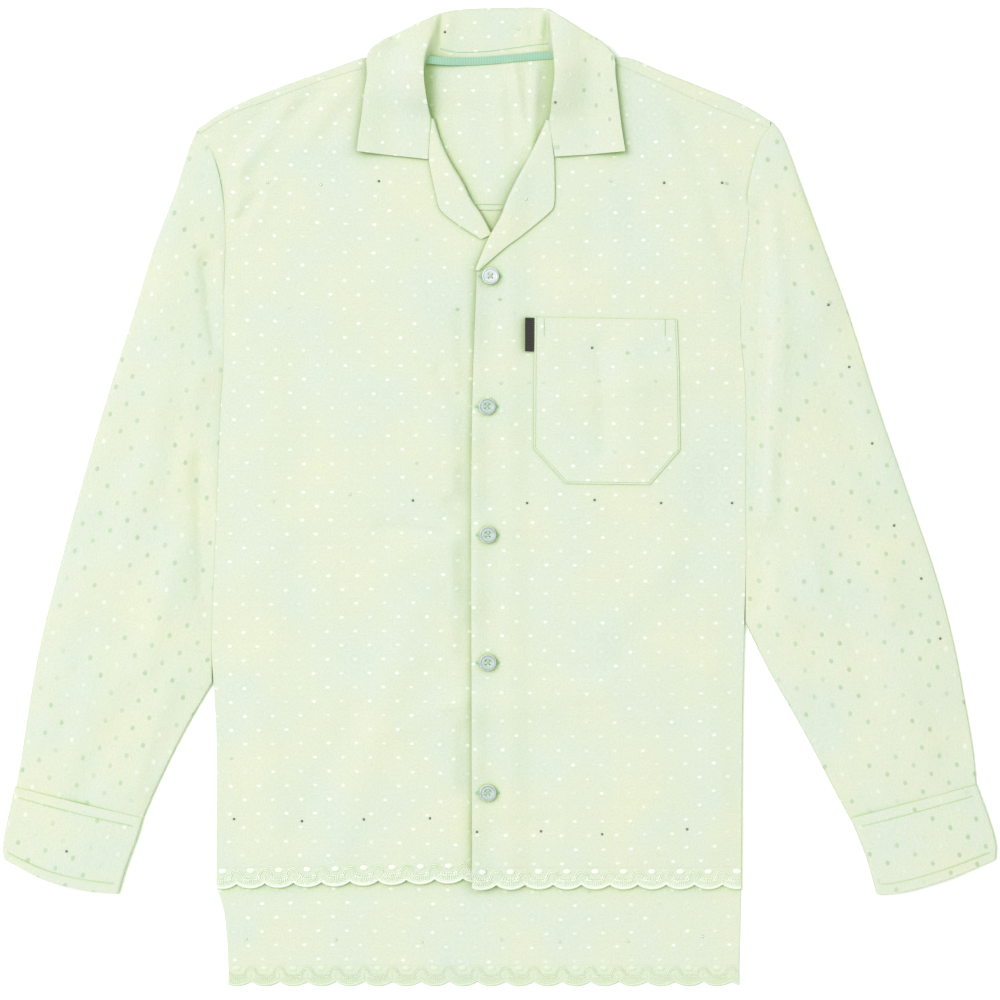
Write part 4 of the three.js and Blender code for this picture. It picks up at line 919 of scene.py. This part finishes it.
def make_collar():
    """The stand climbs from the neck seam to the roll line as a quarter sine, and the fall goes out
    across the fronts. Past the shoulders it turns under, and lies between the yoke and the surface."""
    s = collar_stations(260)
    shows, under = s["shows"], np.maximum(0, s["under"])
    side = s["roll_x"] < NECK_CENTRE

    def ground(x, y):
        top = np.where(side, front_right_top(x, y), front_left_top(x, y))
        return top + 2 * SEAM + WALL / 2

    at_seam = ground(s["seam_x"], s["seam_y"])
    behind = back_lower(s["seam_x"], s["seam_y"]) + WALL / 2
    seam_height = at_seam + (behind - at_seam) * ramp(334, 355.5, s["seam_y"])
    at_roll = ground(s["roll_x"], s["roll_y"])
    roll_height = at_roll + (2 * WALL - at_roll) * ramp(346.5, 363, s["roll_y"]) + s["rise"]
    columns, across = [], []
    stand_length = np.hypot(s["roll_x"] - s["seam_x"], s["roll_y"] - s["seam_y"])
    for t in np.linspace(0, 0.96, 14):
        x = s["seam_x"] + t * (s["roll_x"] - s["seam_x"])
        y = s["seam_y"] + t * (s["roll_y"] - s["seam_y"])
        creased = folded(x, y, STAND_FOLDS) * math.sin(math.pi * t ** 2) ** 0.5
        columns.append(np.column_stack([
            x, y, seam_height + (roll_height - seam_height) * math.sin(t * math.pi / 2) + creased]))
        across.append((t - 1) * stand_length)

    # widths out along the fall, whose columns follow the fold where it turns under
    turn = 1.6 * FOLD
    wanted = [a * (shows - turn) for a in np.linspace(0, 1, 26)[:-1]]
    wanted += [shows + turn * a for a in np.linspace(-1, 1, 9)]
    wanted += [shows + turn + b * (under - turn) for b in np.linspace(0, 1, 9)[1:]]
    last, least = len(wanted) - 1, 0.06
    heading = np.radians(s["heading"])
    for k, width in enumerate(wanted):
        width = np.clip(width, least * k, shows + under - least * (last - k))
        beyond = width - shows
        distance = shows + FOLD - np.hypot(beyond, FOLD)
        x = s["roll_x"] + distance * np.cos(heading)
        y = s["roll_y"] + distance * np.sin(heading)
        lift = 3.2 * ramp(0.45, 1, width / np.maximum(shows, 20)) * (under < 12)
        above = ground(x, y) + (roll_height - at_roll) * np.exp(-((width / 23) ** 2)) + lift
        down = ramp(-FOLD, FOLD, beyond) * np.minimum(1, under / FOLD / 2)
        columns.append(np.column_stack([x, y, above + (WALL / 2 - above) * down]))
        across.append(width)
    grid = np.stack(columns, 1)
    ends = np.linspace(0, 1, grid.shape[0])[:, None]
    curl = 0.9 * (np.exp(-((ends / 0.03) ** 2)) + np.exp(-(((1 - ends) / 0.03) ** 2)))
    grid[..., 2] += curl * ramp(14, 50, np.stack(across, 1))
    along = lengths(np.column_stack([s["roll_x"], s["roll_y"]]))
    cloth = np.stack([np.broadcast_to(along[:, None], grid.shape[:2]), np.stack(across, 1)], -1)
    piece = put("camp_collar", shell(*thickened(grid, WALL), cloth), COLLAR_CLOTH, ["collar"])
    width, length = np.ptp(cloth[..., 1]) * MM, (along[-1] + COLLAR_EXTRA) * MM


def make_neck_tape():
    cells = 90
    upper = run(TAPE_UPPER, cells)
    lower = upper - [0, TAPE_WIDTH]
    grid = plan(lower, upper, run([lower[0], upper[0]], 6), run([lower[-1], upper[-1]], 6))

    def base(x, y):
        """It lies on the yoke, and its left end stands off it."""
        return back_lower(x, y) + WALL + 0.2 + back_air(x, y) + 2.6 * ramp(-20, -58, x)

    wall = 0.6 + 0.4 * np.sin(np.linspace(0, math.pi, 7))[:, None]
    upper_skin = lifted(grid, base) + np.dstack([0 * wall, 0 * wall, wall])
    return put("grosgrain_neck_tape", shell(upper_skin, lifted(grid, base), grain(grid)), MINT_TAPE,
               ["neck_tape"])


# Sleeves and cuffs

def sleeve_air(u, v, x, y):
    """Air in a sleeve over two layers of cloth: its crown, its folds and its slack."""
    middle = np.sin(math.pi * np.clip(u, 0, 1)) ** 0.8
    ends = 0.4 + 0.6 * np.sin(math.pi * np.clip(v, 0, 1)) ** 0.5
    near = ramp(0, 0.05, u) * ramp(0, 0.05, 1 - u)
    own = (folded(x, y, SLEEVE_FOLDS) + 1.2 * slack(x, y)) * near
    return np.clip(SLEEVE_CROWN * middle * ends + own, 0, 5)


def make_sleeve(name, node, lower, upper, left, right, degrees, origin):
    grid = plan(lower, upper, left, right)
    form = flat_tube(grid, WALL, sleeve_air, lambda points: grain(points, degrees, origin))
    put(name, form, SLEEVE_CLOTH, [node])


def make_sleeves():
    across, along = 5, 8
    right_armhole, left_armhole = moved(ARMHOLE_RIGHT, SLEEVE_TUCK), moved(ARMHOLE_LEFT[::-1], -SLEEVE_TUCK)
    make_sleeve(
        "sleeve_right_tube", "sleeve_right",
        run([SLEEVE_RIGHT_OUTER[-1], SLEEVE_RIGHT_INNER[-1]], 9 * across),
        edge(run([SLEEVE_RIGHT_OUTER[0], right_armhole[0]], across), run(right_armhole, 8 * across)),
        run(SLEEVE_RIGHT_OUTER[::-1], 18 * along),
        edge(run(SLEEVE_RIGHT_INNER[::-1], 6 * along),
             run([SLEEVE_RIGHT_INNER[0], *moved(SIDE_RIGHT[:5], SLEEVE_TUCK)[::-1]], 12 * along)),
        76, (-336.6, -190.6))
    make_sleeve(
        "sleeve_left_tube", "sleeve_left",
        run([SLEEVE_LEFT_INNER[-1], SLEEVE_LEFT_OUTER[-1]], 9 * across),
        edge(run(left_armhole, 8 * across), run([left_armhole[-1], SLEEVE_LEFT_OUTER[0]], across)),
        edge(run(SLEEVE_LEFT_INNER[::-1], 7 * along),
             run([SLEEVE_LEFT_INNER[0], *moved(SIDE_LEFT[:4], -SLEEVE_TUCK)[::-1]], 11 * along)),
        run(SLEEVE_LEFT_OUTER[::-1], 18 * along),
        108.6, (271.9, 122.7))


def cuff_air(u, v, x, y):
    """Air in a cuff: its crown, and a little slack that is gone at its two sides."""
    own = 0.3 * slack(x * 1.5, y * 1.5) * ramp(0, 0.1, u * (1 - u))
    return CUFF_CROWN * np.sin(math.pi * np.clip(u, 0, 1)) + own


def make_cuff(name, node, cut, degrees, origin):
    across, along = 48, 24
    lower, upper = run(cut["edge"], across), run(cut["seam"], across)
    left = run([lower[0], *cut["left"], upper[0]], along)
    right = run([lower[-1], *cut["right"], upper[-1]], along)
    grid = plan(lower, upper, left, right)
    form = flat_tube(grid, CUFF_WALL, cuff_air, lambda points: grain(points, degrees, origin))
    piece = put(name, form, SLEEVE_CLOTH, [node])

    # two rows of stitches on the upper face, along rows of its plan
    u = np.linspace(0, 1, len(grid[0]))[3:-3]
    tops = 2 * (CUFF_WALL + LAYER / 2) + CUFF_CROWN * np.sin(math.pi * u)
    lines = []
    for share in (0.11, 0.87):
        row = grid[round(share * along)][3:-3]
        order = np.argsort(row[:, 0])
        lines.append(seam_line(row, lambda x, y: np.interp(x, row[order, 0], tops[order]), radius=0.22,
                               above=0.2))
    put(name + "_stitches", joined(lines), SEWING)


# Pocket, tab, buttons and what is sewn on

def pocket_lower(x, y):
    return POCKET_GAP + np.maximum(front_left_top(x, y), front_left_top(x + 3, y))


def pocket_top(x, y):
    return pocket_lower(x, y) + POCKET_WALL


def make_pocket(tab):
    scale = 8
    bottom_left, bottom_right = POCKET["bottom"]
    lower = edge(run([POCKET["left"][-1], bottom_left], 2 * scale), run(POCKET["bottom"], 4 * scale),
                 run([bottom_right, POCKET["right"][-1]], 2 * scale))
    grid = plan(lower, run(POCKET["top"], 8 * scale),
                run([*POCKET["left"][::-1], POCKET["top"][0]], 7 * scale),
                run([*POCKET["right"][::-1], POCKET["top"][1]], 7 * scale))
    form = laid(grid, pocket_lower, POCKET_WALL, grain(grid, 0.3, (15.3, -230)))
    pocket = put("chest_pocket", form, CLOTH, ["pocket"])
    outline = edge(run([POCKET["top"][0], *POCKET["left"]], 40), run([POCKET["left"][-1], bottom_left], 12),
                   run(POCKET["bottom"], 20), run([bottom_right, POCKET["right"][-1]], 12),
                   run([*POCKET["right"][::-1], POCKET["top"][1]], 40))
    lines = [seam_line(inset(outline, 1.5), pocket_top, radius=0.14)]

    # a close upright row at each upper corner
    for x in (36.7, 135.7):
        lines.append(seam_line(run([(x, 146), (x, 132.5)], 8), pocket_top, length=1.2, gap=0.15, radius=0.24))
    sewn = put("pocket_stitches", joined(lines), SEWING)


def make_tab():
    grid = np.stack(np.meshgrid(LABEL["x"] + np.linspace(0, LABEL["width"], 13),
                                LABEL["y"] + np.linspace(0, LABEL["length"], 37)), -1)

    def base(x, y):
        """Its free edge, at the left, stands off the front."""
        free = (LABEL["x"] + LABEL["width"] - x) / LABEL["width"]
        return SEAM + np.maximum(front_left_top(x, y), front_left_top(x + 3, y)) + 2.8 * free ** 2

    form = laid(grid, base, LABEL["wall"], grain(grid, 90))
    return put("woven_side_tab", form, DARK_TAB, ["side_label"])


def button_form():
    """A turned four-hole button: a rounded rim, a step and a dished middle. Its holes are cut through in
    make_buttons.
    """
    r, t = BUTTON_RADIUS, BUTTON_THICKNESS
    rim = [(r - 0.75 + 0.75 * math.sin(a), t - 0.55 + 0.55 * math.cos(a))
           for a in np.linspace(0, math.pi / 2, 7)[::-1]]
    profile = [(0, 0), (r - 0.9, 0), (r - 0.2, 0.25), (r, 0.8), *rim, (r - 1.5, t - 0.06),
               (r - 1.9, t - 0.4), (r - 2.1, t - 0.45), (r - 2.5, t - 0.3), (r - 3.1, t - 0.32),
               (r - 3.6, t - 0.75), (1.6, t - 0.95), (0, t - 1.0)]
    return lathe(profile, 72)


def placed(form, turn, spot):
    """A form turned about its own origin and moved to a spot."""
    points, cloth, groups = form
    return points @ turn.T + spot, cloth, groups


def make_buttons():
    form = button_form()
    angles = (np.arange(4) + 0.5) * math.pi / 2
    centres = np.array([(math.cos(a), math.sin(a)) for a in angles]) * HOLE_AWAY
    hole = lathe([(0, -1), (HOLE_RADIUS, -1), (HOLE_RADIUS, 4), (0, 4)], 16)
    holes = joined([placed(hole, np.eye(3), (*centre, 0)) for centre in centres])
    for number, (x, y) in enumerate(BUTTONS, 1):
        around = np.linspace(0, 2 * math.pi, 16, endpoint=False)
        rim_x, rim_y = x + BUTTON_RADIUS * np.cos(around), y + BUTTON_RADIUS * np.sin(around)
        seat = SEAM + front_left_top(rim_x, rim_y).max()
        # The first button is tilted a little and takes the paler pearl, a painted highlight.
        tilt, look = (math.radians(5), PEARL_PAINTED_HIGHLIGHT) if number == 1 else (0, PEARL)
        turn = np.array([(math.cos(tilt), 0, math.sin(tilt)), (0, 1, 0),
                         (-math.sin(tilt), 0, math.cos(tilt))])
        spot = np.array([x, y, seat + BUTTON_RADIUS * math.sin(tilt)])
        piece = put(f"pearl_button_{number}", placed(form, turn, spot), look,
                    [f"button_{number}"])
        cutter = put("hole_cutter", placed(holes, turn, spot), look)
        cut = piece.modifiers.new("holes", "BOOLEAN")
        cut.operation = "DIFFERENCE"
        cut.object = cutter
        bpy.context.view_layer.update()
        final = bpy.data.meshes.new_from_object(piece.evaluated_get(bpy.context.evaluated_depsgraph_get()))
        piece.modifiers.clear()
        piece.data = final
        bpy.data.objects.remove(cutter)
        laps = []
        for start, stop in ((0, 2), (1, 3)):
            for aside in (-0.22, 0.22):
                way = centres[stop] - centres[start]
                off = aside * np.array([-way[1], way[0]]) / np.linalg.norm(way)
                t = np.linspace(0, 1, 9)[:, None]
                flat = centres[start] * (1 - t) + centres[stop] * t + off
                rise = BUTTON_THICKNESS - 1.35 + 0.85 * np.sin(math.pi * t) ** 0.5 + (0.3 if start else 0)
                laps.append(thread(np.hstack([flat, rise]) @ turn.T + spot, 0.2))
        put(f"button_thread_{number}", joined(laps), SEWING)


def make_buttonholes():
    """Worked buttonholes: close upright stitches along both lips, shorter towards the ends."""
    half, step = 9.8, 0.55
    across = np.arange(-half, half, step)
    reach = 0.5 + 1.5 * (1 - np.abs(across) / half) ** 0.7
    starts, ends = [], []
    for x, y in BUTTONS:
        for side in (-1, 1):
            starts.append(np.column_stack([x + across, np.full_like(across, y + 0.1 * side)]))
            ends.append(np.column_stack([x + across, y + reach * side]))
    starts, ends = np.vstack(starts), np.vstack(ends)

    def raised(at):
        return np.column_stack([at, front_left_top(at[:, 0], at[:, 1]) + 0.12])

    put("buttonholes", stitches(raised(starts), raised(ends), 0.34), MINT_SEWING)


def make_yoke_stitches():
    """Mint topstitching on the yoke's inside, beside its seam with the back."""
    line = seam_line(run([(-62, 240.5), (44, 240.5)], 30), lambda x, y: WALL + back_air(x, y), radius=0.3)
    put("yoke_stitches", line, MINT_SEWING)


def make_stand_stitches():
    """A row of mint stitches on the inside of the collar's stand, a little above the neck seam."""
    path = run(STAND_STITCHES, 60)
    tops = [resting(x, y) for x, y in path]
    line = seam_line(path, lambda x, y: np.interp(x, path[:, 0], tops), radius=0.22, above=0.1)
    put("stand_stitches", line, MINT_SEWING)


def resting(x, y):
    """Height of what lies uppermost at a place of the shirt, from the pieces made so far."""
    start = np.array([x, y, 60]) * MM + SHIFT
    place = bpy.context.scene.ray_cast(bpy.context.evaluated_depsgraph_get(), start.tolist(), (0, 0, -1))[1]
    return place.z / MM


def make_stones():
    """Small faceted stones set through the cloth, each sunk in a low ring."""
    r = STONE_RADIUS
    gem = lathe([(0, 0), (r * 0.9, 0), (r, 0.35), (r * 0.82, 0.6), (r * 0.45, 0.85), (0, 0.95)], 8)
    for tone, pixels, look in (("pale", PALE_STONES, PALE_STONE), ("dark", DARK_STONES, DARK_STONE)):
        places = [from_pixel(*pixel) for pixel in pixels]
        spots = np.array([(x, y, resting(x, y) - 0.15) for x, y in places])
        put(f"stones_{tone}", copies(gem, np.eye(3), spots), look)


# Lace

def make_lace(name, node, start, stop, hem, first, lower, weave, rise=0.0, depth=LACE_DEPTH,
              faint=1.0):
    """A hem's lace, flush with the cloth: a net ground down to the corded scalloped edge, short bars
    out to the cord, two rows of beads, two fine arches over each point and a satin oval in each
    scallop. rise is how much it climbs along x, depth how far it reaches down, and faint makes its work
    flatter."""

    def scallop(x):
        return np.abs(np.sin(math.pi * (x - first) / SCALLOP_PITCH)) ** 0.6

    def edge_line(x):
        return hem - depth + 0.7 + SCALLOP_DEPTH * (1 - scallop(x)) + rise * (x - start)

    x = np.linspace(start, stop, int((stop - start) / 0.9) + 1)
    t = np.linspace(0, 1, 13)[:, None]
    grid = np.dstack([np.broadcast_to(x, (13, len(x))), (edge_line(x) + 0.3) * (1 - t) + (hem - 0.05) * t])
    ground = put(name, laid(grid, lower, WALL, grain(grid, *weave)), LACE_GROUND, [node])

    def on(px, py, above):
        return np.column_stack([px, py, lower(px, py) + WALL + above * faint])

    cord = 0.8 + 0.5 * scallop(x)
    work = [thread(on(x, edge_line(x), -0.35), cord, flat=0.9, sides=8),
            thread(on(x, edge_line(x) + 1.7, 0.1), 0.32, flat=0.8)]
    bars_from, bars_to, bead_from, bead_to, oval_at = [], [], [], [], []
    for k in range(math.floor((start - first) / SCALLOP_PITCH), math.ceil((stop - first) / SCALLOP_PITCH)):
        point = first + k * SCALLOP_PITCH
        middle = point + SCALLOP_PITCH / 2
        for s in np.linspace(-0.4, 0.4, 11):
            x_out, x_in = middle + s * SCALLOP_PITCH, middle + s * 0.8 * SCALLOP_PITCH
            bars_from.append((x_out, edge_line(x_out) + 2.3))
            bars_to.append((x_in, edge_line(x_out) + 4.6))
        for row, count in ((5.9, 9), (7.9, 7)):
            for s in np.linspace(-0.36, 0.36, count) * (1 - 0.035 * row):
                x_bead, y_bead = middle + s * SCALLOP_PITCH, edge_line(middle) + row + 14 * s * s
                bead_from.append((x_bead - 0.3, y_bead - 0.35))
                bead_to.append((x_bead + 0.3, y_bead + 0.35))
        bars_from.append((point, edge_line(point) - 0.2))
        bars_to.append((point, edge_line(point) + 3.0))
        oval_at.append((middle, edge_line(middle) + 13.6))
        for reach, peak in ((7.4, 15.0), (5.6, 13.3)):
            a = np.linspace(-1, 1, 25)
            foot = edge_line(middle) + 6.0
            arch_x = point + reach * a
            arch_y = foot + (edge_line(middle) + peak - foot) * (1 - np.abs(a) ** 2.2)
            inside = (arch_x > start) & (arch_x < stop)
            if inside.sum() > 3:
                work.append(thread(on(arch_x[inside], arch_y[inside], 0.3), 0.42, sides=5))

    def kept(a, b):
        a, b = np.array(a), np.array(b)
        inside = (np.minimum(a[:, 0], b[:, 0]) > start) & (np.maximum(a[:, 0], b[:, 0]) < stop)
        return a[inside], b[inside]

    a, b = kept(bars_from, bars_to)
    work.append(stitches(on(*a.T, 0.12), on(*b.T, 0.12), 0.34))
    a, b = kept(bead_from, bead_to)
    work.append(stitches(on(*a.T, 0.15), on(*b.T, 0.15), 0.5))
    ovals, _ = kept(oval_at, oval_at)
    dome = lathe([(0, -0.3), (0.75, -0.3), (1, 0.05), (0.9, 0.45), (0.6, 0.75), (0.25, 0.88), (0, 0.9)], 18)
    dome = (dome[0] * [3.4, 2.4, 0.9 * faint], dome[1], dome[2])
    work.append(copies(dome, np.eye(3), on(*ovals.T, 0.0)))
    sewn = put(name + "_work", joined(work), SATIN if faint == 1 else SATIN_BACK)


# The camera and its frame, the light and the floor

def make_view():
    camera = bpy.data.cameras.new("camera")
    camera.lens, camera.sensor_width = LENS, SENSOR
    eye = bpy.data.objects.new("camera", camera)
    distance = PICTURE * PIXEL * LENS / SENSOR
    eye.location = (MIDDLE[0] * MM + SHIFT[0], MIDDLE[1] * MM + SHIFT[1], (distance + PIXEL_HEIGHT) * MM)
    bpy.context.scene.collection.objects.link(eye)
    bpy.context.scene.camera = eye


def make_light():
    """A broad soft box overhead, wide even light from the left, and a little from the right. The light
    all round is green, as the cloth's own bounce, and the key a little violet, so the flat is neutral."""
    for name, kind, place, soft, power, colour in (
            ("overhead", "AREA", (-0.6, 0, 2.5), 2.4, 25, (1, 1, 1)),
            ("key", "SUN", (-1.2, 0.5, 1.65), math.radians(40), 2.15, (0.85, 0.67, 1)),
            ("fill", "SUN", (1.6, 0.5, 1.6), math.radians(60), 0.75, (1, 1, 1))):
        lamp = bpy.data.lights.new(name, kind)
        if kind == "SUN":
            lamp.angle = soft
        else:
            lamp.size = soft
        lamp.energy = power
        lamp.color = colour
        box = bpy.data.objects.new(name, lamp)
        x, y, z = place
        box.location = place
        box.rotation_euler = (math.atan2(math.hypot(x, y), z), 0, math.atan2(x, -y) if (x or y) else 0)
        bpy.context.scene.collection.objects.link(box)
    world = bpy.data.worlds.new("studio")
    world.use_nodes = True
    world.node_tree.nodes["Background"].inputs["Color"].default_value = (0.76, 1, 0.55, 1)
    world.node_tree.nodes["Background"].inputs["Strength"].default_value = 0.4
    bpy.context.scene.world = world
    bpy.context.scene.view_settings.view_transform = "Standard"


def make_floor():
    """A sheet of matt white studio paper, 8 m square and 0.2 mm under the shirt."""
    paper, tree, surface = material("matt_studio_paper", Roughness=0.9)
    grey = noise(tree, in_space(tree), 900, 2)
    finish(tree, surface, blend(tree, grey, linear("#FBFBFB"), linear("#FEFEFE")))
    half, drop = 4.0, 0.0002
    corners = [(half * x, half * y, -drop) for x, y in ((-1, -1), (1, -1), (1, 1), (-1, 1))]
    mesh = bpy.data.meshes.new("studio_floor")
    mesh.from_pydata(corners, [], [(0, 1, 2, 3)])
    mesh.materials.append(paper)
    floor = bpy.data.objects.new("studio_floor", mesh)
    bpy.context.scene.collection.objects.link(floor)


make_view()
make_light()
make_floor()
make_back()
make_yoke(make_neck_tape())
make_fronts()
make_lapel("lapel_right_facing", "lapel_right", LAPEL_RIGHT_EDGE, ROLL_RIGHT, front_right_top, 1)
make_lapel("lapel_left_facing", "lapel_left", LAPEL_LEFT_EDGE, ROLL_LEFT, front_left_top, -1)
make_collar()
make_sleeves()
make_cuff("cuff_right_band", "cuff_right", CUFF_RIGHT, 76, (-336.6, -190.6))
make_cuff("cuff_left_band", "cuff_left", CUFF_LEFT, 108.6, (271.9, 122.7))
make_pocket(make_tab())
make_buttons()
make_buttonholes()
make_yoke_stitches()
make_stand_stitches()
make_stones()
make_lace("lace_edge_front_right", "lace_front_right", SIDE_RIGHT[-1][0], UNDERLAP_EDGE, FRONT_HEM,
          FIRST_POINT["front_right"], front_right_lower, (-0.5, (-36.7, -238)), rise=0.025)
make_lace("lace_edge_front_left", "lace_front_left", PLACKET_EDGE, SIDE_LEFT[-1][0], FRONT_HEM,
          FIRST_POINT["front_left"], front_left_lower, (0.3, (3.7, -230)))
make_lace("lace_edge_back", "lace_back", BACK_SIDE_RIGHT[-1][0], BACK_SIDE_LEFT[-1][0], BACK_HEM,
          FIRST_POINT["back"], lambda x, y: 0 * x, (0, (3, -230)), depth=16.6, faint=0.6)
